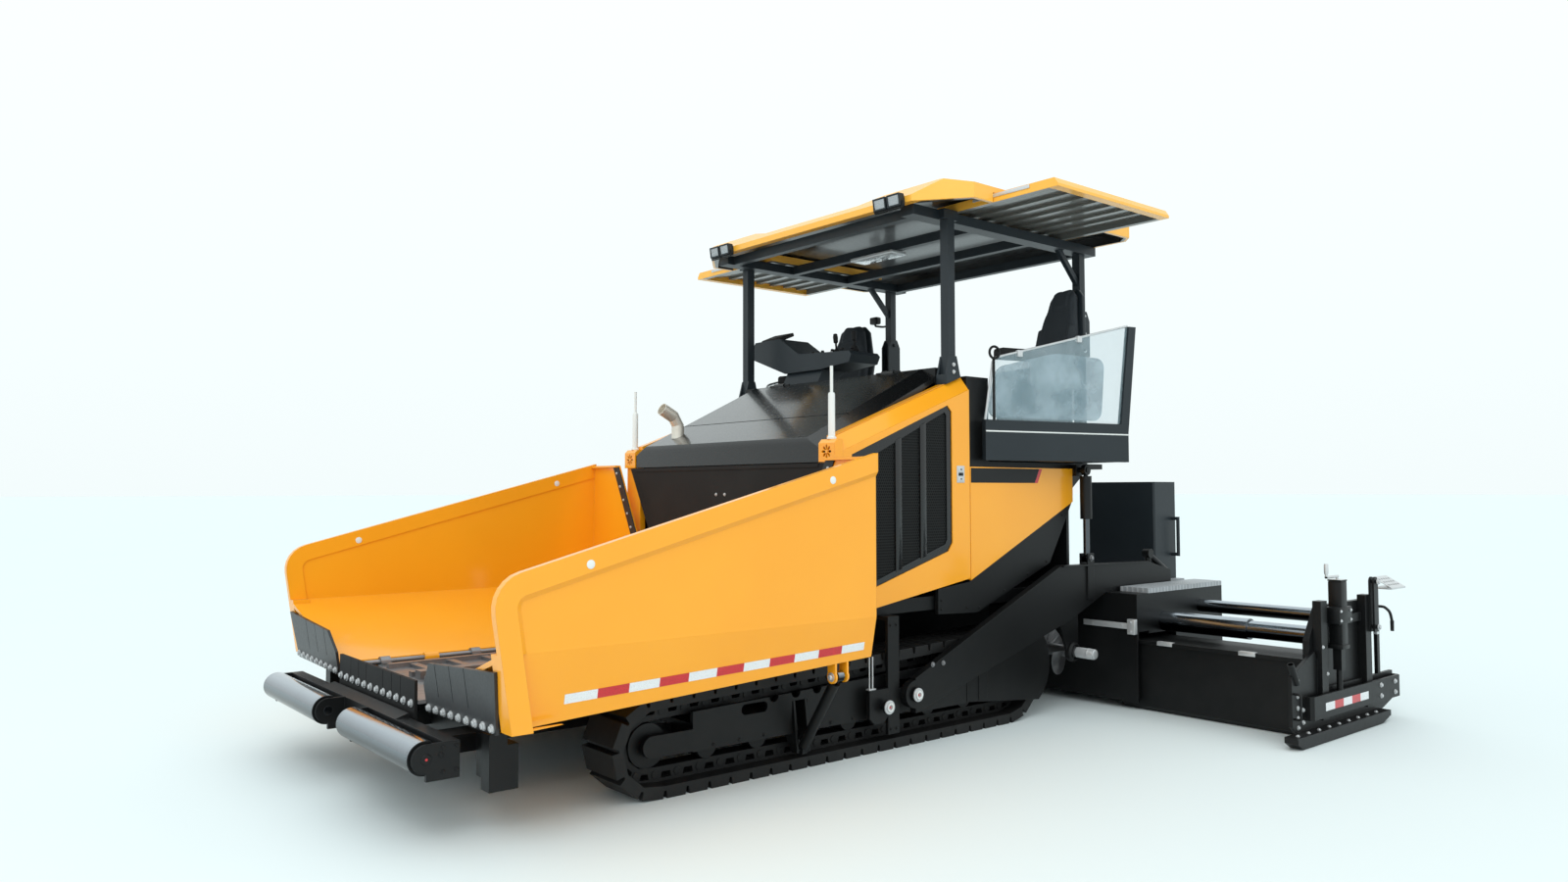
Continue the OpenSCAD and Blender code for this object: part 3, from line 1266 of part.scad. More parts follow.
// Roof shell: two humps along it, cut corners and a sloping fascia, with room for the awnings
roof_shell_t = 30;
roof_fascia_t = 60;
roof_mid_share = 0.36;
roof_hump_share = 0.50;
roof_slope_share = 0.14;
roof_corner_x = 260;
roof_corner_y = 330;
roof_lean = 150;
roof_tail = 90;
awning_rise = fit;
awning_h = 60;
awning_front_x = -540;
awning_rear_x = -1860;
awning_depth = 560;
awning_in_y = roof_half_w - awning_depth;
roof_top_z = roof_z + roof_edge_h;
function roof_half_section(h) = [[roof_half_w * roof_mid_share, roof_top_z],
  [roof_half_w * roof_hump_share, roof_top_z + h], [roof_half_w * (1 - roof_slope_share), roof_top_z + h],
  [roof_half_w, roof_top_z]];
roof_section = concat([[-roof_half_w, roof_z], [roof_half_w, roof_z]], [for (i = [3:-1:0])
  roof_half_section(roof_hump_h)[i]], [for (i = [0:3]) [-roof_half_section(roof_hump_h)[i][0],
  roof_half_section(roof_hump_h)[i][1]]]);
module roof() {
  color(paint) difference() {
    intersection() {
      slab_x(roof_section, roof_rear_x, roof_front_x);
      // Plan with cut corners
      slab_z(mirrored([[roof_rear_x, roof_half_w - roof_tail], [roof_rear_x + roof_tail, roof_half_w],
        [roof_front_x - roof_corner_x, roof_half_w], [roof_front_x, roof_half_w - roof_corner_y]]),
        roof_z - cut, roof_top_z * 2);
      // Side view: fascia leaning back, tail falling
      slab_y([[roof_rear_x, roof_z], [roof_front_x, roof_z], [roof_front_x, roof_z + roof_hump_h],
        [roof_front_x - roof_lean, roof_top_z + roof_hump_h], [roof_rear_x + roof_lean * 2,
        roof_top_z + roof_hump_h], [roof_rear_x, roof_top_z]], -roof_half_w, roof_half_w);
    }
    // Hollow behind the front fascia, with slots for the awnings
    slab_z(mirrored([[roof_rear_x + roof_shell_t, roof_half_w - roof_tail - roof_shell_t],
      [roof_rear_x + roof_tail + roof_shell_t, roof_half_w - roof_shell_t],
      [roof_front_x - roof_corner_x - roof_shell_t, roof_half_w - roof_shell_t],
      [roof_front_x - roof_fascia_t, roof_half_w - roof_corner_y - roof_shell_t]]), roof_z - cut,
      roof_top_z - roof_shell_t);
    both() block([awning_rear_x - gap, roof_half_w - roof_shell_t - cut, roof_z - cut],
      [awning_front_x + gap, roof_half_w + cut, roof_z + awning_rise + awning_h + gap]);
  }
}

// Awnings: slatted frames with a leaning outer fascia that slide out from the roof
awning_out_y = roof_half_w + awning_out;
awning_edge_t = 64;
awning_edge_lean = 26;
awning_bar_w = 50;
awning_slat_count = 7;
awning_slat_t = 12;
module awning(left) {
  color(paint) on_side(left) {
    z = roof_z + awning_rise;
    for (x = [awning_rear_x, awning_front_x - awning_bar_w]) {
      block([x, awning_in_y, z], [x + awning_bar_w, awning_out_y - awning_edge_t + cut, z + awning_h]);
    }
    slab_x([[awning_out_y - awning_edge_t, z], [awning_out_y, z], [awning_out_y, z + awning_h / 3],
      [awning_out_y - awning_edge_lean, z + awning_h], [awning_out_y - awning_edge_t, z + awning_h]],
      awning_rear_x, awning_front_x);
    block([awning_rear_x, awning_in_y, z], [awning_front_x, awning_in_y + awning_bar_w, z + awning_h]);
    block([awning_rear_x, awning_in_y, z + awning_h - awning_slat_t],
      [awning_front_x, awning_out_y - awning_edge_t + cut, z + awning_h]);
    for (i = [1:awning_slat_count]) {
      x = awning_rear_x + (awning_front_x - awning_rear_x) * i / (awning_slat_count + 1);
      block([x - awning_bar_w / 2, awning_in_y, z + awning_h / 2],
        [x + awning_bar_w / 2, awning_out_y - awning_edge_t + cut, z + awning_h]);
    }
  }
}

// Work lights in pairs on the roof's front edge, each with a hood and a foot
lamp_y = 965;
lamp_w = 118;
lamp_h = 84;
lamp_d = 62;
lamp_gap = 16;
lamp_glass_d = 12;
lamp_rim = 10;
lamp_tilt = 12;
lamp_drop = 24;
module work_lights() {
  color(slate) both() for (s = [-1, 1]) {
    y = lamp_y + s * (lamp_w + lamp_gap) / 2;
    difference() {
      slab_y([[roof_front_x, roof_z - lamp_drop], [roof_front_x + lamp_d - lamp_tilt, roof_z - lamp_drop],
        [roof_front_x + lamp_d, roof_z + lamp_h - lamp_drop], [roof_front_x + lamp_tilt,
        roof_z + lamp_h - lamp_drop], [roof_front_x, roof_z + lamp_h / 2 - lamp_drop]], y - lamp_w / 2,
        y + lamp_w / 2);
      slab_y([[roof_front_x + lamp_d - lamp_tilt - lamp_glass_d, roof_z - lamp_drop + lamp_rim],
        [roof_front_x + lamp_d * 2, roof_z - lamp_drop + lamp_rim], [roof_front_x + lamp_d * 2,
        roof_z + lamp_h - lamp_drop - lamp_rim], [roof_front_x + lamp_d - lamp_glass_d,
        roof_z + lamp_h - lamp_drop - lamp_rim]], y - lamp_w / 2 + lamp_rim, y + lamp_w / 2 - lamp_rim);
    }
  }
}

// Operator stations, swung out at rest about an upright pin at the front
station_x = -870;
station_set_in = 120;
station_y = body_outer_y - station_set_in;
station_out = 13;
station_nose = 145;
station_side = 200;
station_len = 1180;
station_t = 40;
station_floor_z = deck_z + gap;
station_floor_t = 30;
station_in = 480;
station_kick_h = 260;
station_bar_h = 70;
station_glass_z0 = 2130;
station_glass_front_h = 430;
station_glass_rear_h = 740;
station_pin_r = 30;
station_floor_front = 45;
station_floor_len = 1100;
glass_t = 8;
glass_lean = 90;
seat_front = 320;
seat_w = 500;
seat_mid = -130;
seat_d = 480;
seat_z = 2420;
seat_t = 110;
back_t = 110;
back_h = 760;
back_lean = 150;
seat_base_w = 300;
module station_place(left) {
  on_side(left) translate([station_x, station_y, 0]) rotate([0, 0, -station_out]) children();
}
module station(left) {
  color(slate) station_place(left) {
    difference() {
      union() {
        block([-station_floor_len, -station_in, station_floor_z], [station_floor_front, station_side,
          station_floor_z + station_floor_t]);
        block([-station_len, station_side - station_t, station_floor_z], [station_nose, station_side,
          station_floor_z + station_kick_h]);
        slab_y([[station_nose, station_glass_z0 - station_bar_h],
          [-station_len, station_glass_z0 - station_bar_h], [-station_len - glass_lean,
          station_glass_z0 + station_glass_rear_h], [-station_len - glass_lean + station_bar_h,
          station_glass_z0 + station_glass_rear_h], [-station_len + station_bar_h, station_glass_z0],
          [station_nose, station_glass_z0]], station_side - station_t, station_side);
        block([-seat_front - seat_d, seat_mid - seat_base_w / 2, station_floor_z + station_floor_t - cut],
          [-seat_front, seat_mid + seat_base_w / 2, seat_z - fit]);
      }
      translate([0, 0, station_floor_z - cut]) cylinder(h = station_floor_t + cut * 2, r = station_pin_r);
    }
  }
}
module window(left) {
  color([0.7, 0.85, 0.9, 0.4]) station_place(left)
    slab_y([[station_nose, station_glass_z0], [-station_len + station_bar_h, station_glass_z0],
      [-station_len - glass_lean + station_bar_h, station_glass_z0 + station_glass_rear_h],
      [station_nose - glass_lean, station_glass_z0 + station_glass_front_h]], station_side - station_t / 2
      - glass_t / 2, station_side - station_t / 2 + glass_t / 2);
}
back_top_w = 330;
back_corner = 60;
module seat(left) {
  color(black) station_place(left) {
    block([-seat_front - seat_d, seat_mid - seat_w / 2, seat_z], [-seat_front, seat_mid + seat_w / 2,
      seat_z + seat_t]);
    // High back, narrower at the top
    intersection() {
      slab_y([[-seat_front - seat_d, seat_z + seat_t - cut], [-seat_front - seat_d + back_t,
        seat_z + seat_t - cut], [-seat_front - seat_d + back_t - back_lean, seat_z + back_h],
        [-seat_front - seat_d - back_lean, seat_z + back_h]], seat_mid - seat_w / 2,
        seat_mid + seat_w / 2);
      slab_x([[seat_mid - seat_w / 2, seat_z], [seat_mid + seat_w / 2, seat_z],
        [seat_mid + seat_w / 2, seat_z + back_h / 2], [seat_mid + back_top_w / 2,
        seat_z + back_h - back_corner], [seat_mid + back_top_w / 2 - back_corner, seat_z + back_h],
        [seat_mid - back_top_w / 2 + back_corner, seat_z + back_h], [seat_mid - back_top_w / 2,
        seat_z + back_h - back_corner], [seat_mid - seat_w / 2, seat_z + back_h / 2]],
        -seat_front - seat_d * 2, 0);
    }
  }
}

// Tow points outside the tracks: a bolted post, a slider box and two pins
tow_post_x = 250;
tow_post_w = 100;
tow_out_y = arm_y - gap;
tow_post_low_z = 105;
tow_post_top_z = sill_z - sill_h;
tow_pin_r = 28;
tow_cap_r = 46;
tow_cap_t = 14;
tow_side_x = 347;
tow_side_z = 290;
tow_slider_h = 130;
tow_box_w = 120;
tow_box_h = 210;
tow_box_cut = 40;
module tow_points() {
  color(black) both() {
    block([tow_post_x - tow_post_w / 2, tow_post_y, tow_post_low_z], [tow_post_x + tow_post_w / 2,
      tow_out_y, tow_post_top_z]);
    block([tow_post_x - tow_post_w / 2, sill_half_w - sill_w, tow_post_top_z - tow_post_t],
      [tow_post_x + tow_post_w / 2, tow_out_y, tow_post_top_z]);
    block([tow_x - tow_cap_r, tow_post_y, tow_z - tow_slider_h / 2],
      [tow_side_x + tow_cap_r, tow_out_y - fit, tow_z + tow_slider_h / 2 - tow_post_t]);
    // Box ahead of the post
    slab_y([[tow_side_x - tow_box_w / 3, tow_side_z - tow_box_h / 2 + tow_box_cut],
      [tow_side_x - tow_box_w / 3, tow_side_z + tow_box_h / 2],
      [tow_side_x + tow_box_w, tow_side_z + tow_box_h / 2],
      [tow_side_x + tow_box_w, tow_side_z - tow_box_h / 2 + tow_box_cut],
      [tow_side_x + tow_box_w - tow_box_cut, tow_side_z - tow_box_h / 2],
      [tow_side_x, tow_side_z - tow_box_h / 2]], tow_post_y, arm_y);
    bar_y(tow_x, tow_z, tow_pin_r, tow_post_y, arm_y + arm_t + gap + tow_cap_t);
    bar_y(tow_x, tow_z, tow_cap_r, arm_y + arm_t + gap, arm_y + arm_t + gap + tow_cap_t);
    bar_y(tow_side_x, tow_side_z, tow_pin_r, tow_post_y, arm_y + arm_t);
    bar_y(tow_side_x, tow_side_z, tow_cap_r, arm_y + arm_t - tow_cap_t, arm_y + arm_t);
  }
}

// Tow arms: a bent plate with a deep shoe behind the pin, ears for the lift and a folded crank at the rear
arm_eye_r = 88;
arm_front_low_z = 215;
arm_front_top_z = 448;
arm_shoe_rear_x = -395;
arm_shoe_t = 16;
arm_bend_x = -1440;
arm_bend_top_z = 1086;
arm_bend_low_x = -1545;
arm_bend_low_z = 684;
arm_rear_x = -2916;
arm_rear_h = 130;
arm_taper_x = -2557;
arm_flange_t = 12;
arm_flange_out = 22;
lift_ear_t = 12;
lift_ear_h = 34;
lift_eye_r = 34;
crank_x0 = -2620;
crank_x1 = -2880;
crank_z0 = 1130;
crank_z1 = 985;
crank_bar_r = 24;
crank_arm_r = 14;
crank_hub_w = 60;
module tow_arms() {
  color(black) both() {
    difference() {
      union() {
        slab_y([[tow_x, arm_front_low_z + gap], [tow_x, arm_front_top_z - gap],
          [arm_bend_x, arm_bend_top_z], [arm_taper_x, arm_bend_top_z - gap * 2],
          [arm_rear_x, screed_top_z + arm_rear_h], [arm_rear_x, screed_top_z],
          [screed_front_x, screed_top_z], [arm_bend_low_x, arm_bend_low_z]], arm_y, arm_y + arm_t);
        slab_y([[tow_x, arm_front_low_z + gap], [tow_x, arm_front_top_z - gap],
          [arm_shoe_rear_x, arm_front_top_z + arm_eye_r], [arm_shoe_rear_x, arm_front_low_z + gap]],
          arm_y, arm_y + arm_t - arm_shoe_t);
        bar_y(tow_x, tow_z, arm_eye_r, arm_y, arm_y + arm_t);
        // Flange along the level top behind the bend
        slab_y([[arm_bend_x, arm_bend_top_z - arm_flange_t], [arm_bend_x, arm_bend_top_z],
          [arm_taper_x, arm_bend_top_z - gap * 2],
          [arm_taper_x, arm_bend_top_z - gap * 2 - arm_flange_t]], arm_y + arm_t - cut,
          arm_y + arm_t + arm_flange_out);
        for (y = [arm_y - lift_ear_t, arm_y + arm_t]) {
          block([lift_x - lift_eye_r - gap, y, arm_bend_low_z + lift_ear_h * 4],
            [lift_x + lift_eye_r + gap, y + lift_ear_t, lift_low_z + lift_ear_h]);
        }
        // Folded crank of the thickness control
        bar_to([crank_x0, arm_y + arm_t / 2, crank_z0], [crank_x1, arm_y + arm_t / 2, crank_z1],
          crank_bar_r, 0, norm([crank_x1 - crank_x0, crank_z1 - crank_z0]));
        translate([crank_x0, arm_y + arm_t / 2, screed_top_z + arm_rear_h])
          cylinder(h = crank_z0 - screed_top_z - arm_rear_h, r = crank_bar_r);
        bar_y(crank_x0, crank_z0, crank_bar_r + crank_arm_r, arm_y + arm_t / 2 - crank_hub_w / 2,
          arm_y + arm_t / 2 + crank_hub_w / 2);
        translate([crank_x1, arm_y + arm_t / 2, screed_top_z + arm_rear_h / 2])
          cylinder(h = crank_z1 - screed_top_z - arm_rear_h / 2, r = crank_arm_r);
      }
      bar_y(tow_x, tow_z, tow_pin_r + fit, arm_y - cut, arm_y + arm_t + cut);
    }
  }
}

// Lift cylinders
lift_barrel_r = 44;
lift_rod_r = 24;
lift_barrel_low_z = 1420;
lift_bore_in = 55;
lift_bore_top_z = lift_top_z - lift_bore_in;
lift_rod_top_z = 1510;
lift_neck_r = 17;
lift_mid_y = arm_y + arm_t / 2;
module lift_barrels() {
  color(black) both() difference() {
    union() {
      translate([lift_x, lift_mid_y, lift_barrel_low_z])
        cylinder(h = lift_top_z - lift_lug_r - lift_barrel_low_z, r = lift_barrel_r);
      bar_y(lift_x, lift_top_z, lift_lug_r - gap, lift_eye_y0, lift_eye_y1);
      translate([lift_x, lift_mid_y, lift_bore_top_z + cut])
        cylinder(h = lift_top_z - lift_bore_top_z - cut, r = lift_neck_r);
    }
    bar_y(lift_x, lift_top_z, lift_pin_r + fit, lift_eye_y0 - cut, lift_eye_y1 + cut);
    translate([lift_x, lift_mid_y, lift_barrel_low_z - cut])
      cylinder(h = lift_bore_top_z - lift_barrel_low_z + cut, r = lift_rod_r + fit);
  }
}
module lift_rods() {
  color(steel) both() {
    translate([lift_x, lift_mid_y, lift_low_z]) cylinder(h = lift_rod_top_z - lift_low_z, r = lift_rod_r);
    bar_y(lift_x, lift_low_z, lift_eye_r, lift_eye_y0, lift_eye_y1);
  }
}

// Auger frame: cross beam, middle gearbox and outer bearings
auger_beam_z0 = 740;
auger_beam_z1 = sill_z - deck_t;
auger_beam_d = 70;
auger_shaft_r = 44;
auger_stub_r = 38;
auger_box_half_w = 70;
auger_box_d = 150;
hanger_y = 1238;
hanger_t = 24;
hanger_w = 130;
bearing_r = 75;
auger_beam_half_w = hanger_y + hanger_t;
module auger_frame() {
  color(black) difference() {
    union() {
      block([chassis_rear_x - auger_beam_d, -auger_beam_half_w, auger_beam_z0],
        [chassis_rear_x, auger_beam_half_w, auger_beam_z1]);
      block([auger_x - auger_box_d / 2, -auger_box_half_w, auger_z - auger_box_d / 2],
        [auger_x + auger_box_d / 2, auger_box_half_w, auger_beam_z1]);
      block([auger_x, -auger_box_half_w, auger_beam_z0], [chassis_rear_x - cut, auger_box_half_w,
        auger_beam_z1]);
      both() {
        slab_y([[auger_x - hanger_w / 2, auger_z], [auger_x + hanger_w / 2, auger_z],
          [chassis_rear_x, auger_beam_z0], [chassis_rear_x, auger_beam_z1],
          [chassis_rear_x - auger_beam_d, auger_beam_z1], [auger_x - hanger_w / 2, auger_beam_z0]],
          hanger_y, hanger_y + hanger_t);
        bar_y(auger_x, auger_z, bearing_r, hanger_y, hanger_y + hanger_t);
      }
    }
    both() bar_y(auger_x, auger_z, auger_shaft_r + fit, 0, auger_end_y);
  }
}

flight_t = 14;
flight_pitch = 330;
flight_room = 20;
flight_in_y = auger_box_half_w + gap + flight_room;
flight_out_y = hanger_y - gap - flight_room;
flight_step = 15;
flight_corners = 4;
module flight(y0, y1) {
  turn = 360 * (y1 - y0) / flight_pitch;
  translate([auger_x, y1, auger_z]) rotate([90, 0, 0]) linear_extrude(y1 - y0, twist = turn,
    slices = ceil(turn / flight_step), segments = flight_corners)
    translate([auger_shaft_r - cut, -flight_t / 2]) square([auger_r - auger_shaft_r + cut, flight_t]);
}
module auger(left) {
  color(slate) on_side(left) {
    bar_y(auger_x, auger_z, auger_shaft_r, auger_box_half_w - auger_box_half_w / 2,
      hanger_y + hanger_t + gap);
    bar_y(auger_x, auger_z, auger_stub_r, hanger_y, auger_end_y);
    flight(flight_in_y, flight_out_y);
  }
}

// Basic screed: upper box with tunnels, front moldboard, sole body
mold_t = 20;
mold_low_z = 60;
box_back = 160;
sole_back = 540;
box_front_x = screed_front_x - box_back;
sole_front_x = screed_front_x - sole_back;
tube_x = -2370;
tube_z = 640;
tube_r = 75;
tube_thin_r = 62;
rear_tube_x = -2900;
rear_tube_z = 720;
rear_tube_r = 50;
tube_in_y = 240;
ext_end_t = 40;
ext_stop = 10;
// Travel of an extension, until its end plate stands beside the screed
ext_travel = ext_outer_y - ext_end_t - screed_half_w - ext_stop;
rail_y0 = 1140;
rail_z = 620;
guide_rail_h = 46;
guide_rail_t = 12;
guide_block_w = 60;
guide_block_h = 110;
sole_step = 30;
module screed_main() {
  color(black) difference() {
    union() {
      block([screed_rear_x, -screed_half_w, screed_box_z], [box_front_x, screed_half_w, screed_top_z]);
      block([screed_front_x - mold_t, -screed_half_w, mold_low_z], [screed_front_x, screed_half_w,
        screed_top_z]);
      block([box_front_x - cut, -screed_half_w, screed_box_z + mold_t],
        [screed_front_x - cut, screed_half_w, screed_top_z]);
      // Sole with a rounded-up front edge
      slab_y([[screed_rear_x + sole_step, sole_z], [sole_front_x - sole_step, sole_z],
        [sole_front_x, sole_z + sole_step], [sole_front_x, screed_box_z + cut],
        [screed_rear_x, screed_box_z + cut], [screed_rear_x, sole_z + sole_step]], -screed_half_w,
        screed_half_w);
      // Guide rail and block on the moldboard
      both() {
        block([screed_front_x - cut, rail_y0, rail_z - guide_rail_h / 2], [screed_front_x + guide_rail_t,
          screed_half_w, rail_z + guide_rail_h / 2]);
        block([screed_front_x - cut, screed_half_w - guide_block_w, rail_z - guide_block_h / 2],
          [screed_front_x + guide_rail_t * 3, screed_half_w, rail_z + guide_block_h / 2]);
      }
    }
    both() {
      bar_y(tube_x, tube_z, tube_r + fit, tube_in_y - tube_r * 2, screed_half_w + cut);
      bar_y(rear_tube_x, rear_tube_z, rear_tube_r + fit, tube_in_y - tube_r * 2, screed_half_w + cut);
    }
  }
}

walkway_t = 36;
walkway_gap_y = lift_ear_t + gap;
module walkway() {
  color(pale) {
    block([screed_rear_x, -arm_y + walkway_gap_y, screed_top_z], [box_front_x, arm_y - walkway_gap_y,
      screed_top_z + walkway_t]);
    both() block([screed_rear_x, arm_y + arm_t + walkway_gap_y, screed_top_z],
      [box_front_x, screed_half_w, screed_top_z + walkway_t]);
  }
}

// Cabinets on the walkway
cabinet_front_x = -2915;
cabinet_rear_x = -3235;
cabinet_y0 = 560;
cabinet_y1 = 1200;
cabinet_h = 810;
cabinet_edge = 12;
handle_r = 14;
handle_out = 60;
handle_shares = [0.25, 0.62];
module cabinets() {
  color(black) both() {
    z = screed_top_z + walkway_t;
    slab_z([[cabinet_rear_x, cabinet_y0], [cabinet_front_x, cabinet_y0],
      [cabinet_front_x, cabinet_y1 - cabinet_edge], [cabinet_front_x - cabinet_edge, cabinet_y1],
      [cabinet_rear_x, cabinet_y1]], z, z + cabinet_h);
    for (share = handle_shares) {
      bar_y(cabinet_rear_x + handle_out, z + cabinet_h * share, handle_r, cabinet_y1 - cut,
        cabinet_y1 + handle_out);
    }
    translate([cabinet_rear_x + handle_out, cabinet_y1 + handle_out, z + cabinet_h * handle_shares[0]
      - handle_r])
      cylinder(h = cabinet_h * (handle_shares[1] - handle_shares[0]) + 2 * handle_r, r = handle_r);
  }
}

// Screed extensions with their guide tubes
ext_front_back = 60;
ext_rear_gap = 40;
ext_top_drop = 40;
ext_front_x = screed_front_x - ext_front_back;
ext_rear_x = sole_front_x + ext_rear_gap;
ext_top_z = screed_box_z - ext_top_drop;
ext_in_y = ext_outer_y - ext_len;
ext_flange_t = 24;
ext_end_top_z = 860;
ext_end_back = 110;
ext_end_rear_x = rear_tube_x - ext_end_back;
tube_end_y = ext_outer_y - ext_end_t;
tube_step_y = 2280;
module extension(left) {
  color(black) on_side(left) {
    slab_y([[ext_rear_x + sole_step, sole_z], [ext_front_x - sole_step, sole_z],
      [ext_front_x, sole_z + sole_step], [ext_front_x, ext_top_z - ext_flange_t],
      [ext_rear_x, ext_top_z - ext_flange_t], [ext_rear_x, sole_z + sole_step]], ext_in_y, ext_outer_y);
    block([ext_rear_x, ext_in_y, ext_top_z - ext_flange_t - cut], [ext_front_x + ext_flange_t,
      ext_outer_y, ext_top_z]);
    slab_y([[ext_front_x, ext_top_z - cut], [ext_front_x, tube_z], [tube_x + tube_r * 2, ext_end_top_z],
      [ext_end_rear_x, ext_end_top_z], [ext_end_rear_x, sole_z + sole_step], [ext_end_rear_x + sole_step,
      sole_z], [ext_rear_x + sole_step, sole_z], [ext_rear_x + sole_step, ext_top_z - cut]], tube_end_y,
      ext_outer_y);
  }
}
module guide_tubes(left) {
  color(steel) on_side(left) {
    bar_y(tube_x, tube_z, tube_r, tube_in_y + ext_travel, tube_step_y);
    bar_y(tube_x, tube_z, tube_thin_r, tube_step_y - cut, tube_end_y);
    bar_y(rear_tube_x, rear_tube_z, rear_tube_r, tube_in_y + ext_travel, tube_end_y);
  }
}

// End gates: plate on a shoe, a bar, two posts, a screw jack with its crank, links and a sight plate
gate_y = ext_outer_y + fit;
gate_t = 24;
gate_front_x = -1760;
gate_shoe_h = 80;
gate_shoe_w = 110;
gate_bar_z0 = 122;
gate_bar_z1 = 322;
gate_bar_out = 60;
gate_bar_y = gate_y + gate_bar_out;
gate_bar_t = 20;
gate_bar_front = 190;
gate_head_z = 450;
gate_head_len = 330;
gate_post_xs = [-2170, -2860];
gate_post_w = 90;
gate_post_t = 56;
gate_post_top_z = 900;
gate_brace_h = 60;
jack_x = -2370;
jack_w = 56;
jack_low_z = 430;
jack_top_z = 1025;
jack_box_z = 735;
jack_box_h = 90;
jack_box_w = 130;
jack_plate_w = 90;
jack_plate_t = 8;
crank_len = 170;
crank_rise = 90;
crank_r = 8;
gate_nose = 140;
gate_ahead = 110;
gate_tail = 400;
link_x = -2910;
link_r = 34;
link_t = 12;
link_z0 = 640;
link_z1 = 990;
link_pin_r = 14;
sight_x0 = -3080;
sight_x1 = -3320;
sight_z = 930;
sight_t = 6;
sight_w = 130;
sight_post_w = 40;
sight_hole_r = 9;
sight_cols = 5;
sight_rows = 3;
tube_handle_r = 22;
tube_handle_wall = 5;
tube_handle_lean = 60;
module gate_jack() {
  block([jack_x - jack_w / 2, gate_bar_y - jack_w / 2, jack_low_z],
    [jack_x + jack_w / 2, gate_bar_y + jack_w / 2, jack_top_z]);
  block([jack_x - jack_box_w / 2, gate_y, jack_box_z],
    [jack_x + jack_box_w / 2, gate_bar_y + jack_w / 2 + jack_plate_t, jack_box_z + jack_box_h]);
  block([jack_x - jack_plate_w / 2, gate_bar_y - jack_plate_w / 2, jack_top_z - cut],
    [jack_x + jack_plate_w / 2, gate_bar_y + jack_plate_w / 2, jack_top_z + jack_plate_t]);
  translate([jack_x, gate_bar_y, gate_bar_z0 + gate_bar_t]) cylinder(h = jack_low_z - gate_bar_z0,
    r = jack_w / 3);
  translate([jack_x, gate_bar_y, jack_top_z]) cylinder(h = crank_rise / 3, r = crank_r);
  bar_x(gate_bar_y, jack_top_z + crank_rise / 3, crank_r, jack_x - crank_r, jack_x + crank_len);
  translate([jack_x + crank_len - crank_r, gate_bar_y, jack_top_z + crank_rise / 3 - crank_r])
    cylinder(h = crank_rise, r = crank_r);
}
module gate_sight() {
  block([sight_x0 - sight_post_w, gate_y, gate_bar_z1 - cut], [sight_x0, gate_y + gate_t, sight_z]);
  difference() {
    block([sight_x1, gate_y, sight_z - cut], [sight_x0, gate_y + sight_w, sight_z + sight_t]);
    for (i = [1:sight_cols], j = [1:sight_rows]) {
      translate([sight_x1 + (sight_x0 - sight_x1) * i / (sight_cols + 1),
        gate_y + sight_w * j / (sight_rows + 1), sight_z - cut * 2])
        cylinder(h = sight_t + cut * 4, r = sight_hole_r);
    }
  }
}
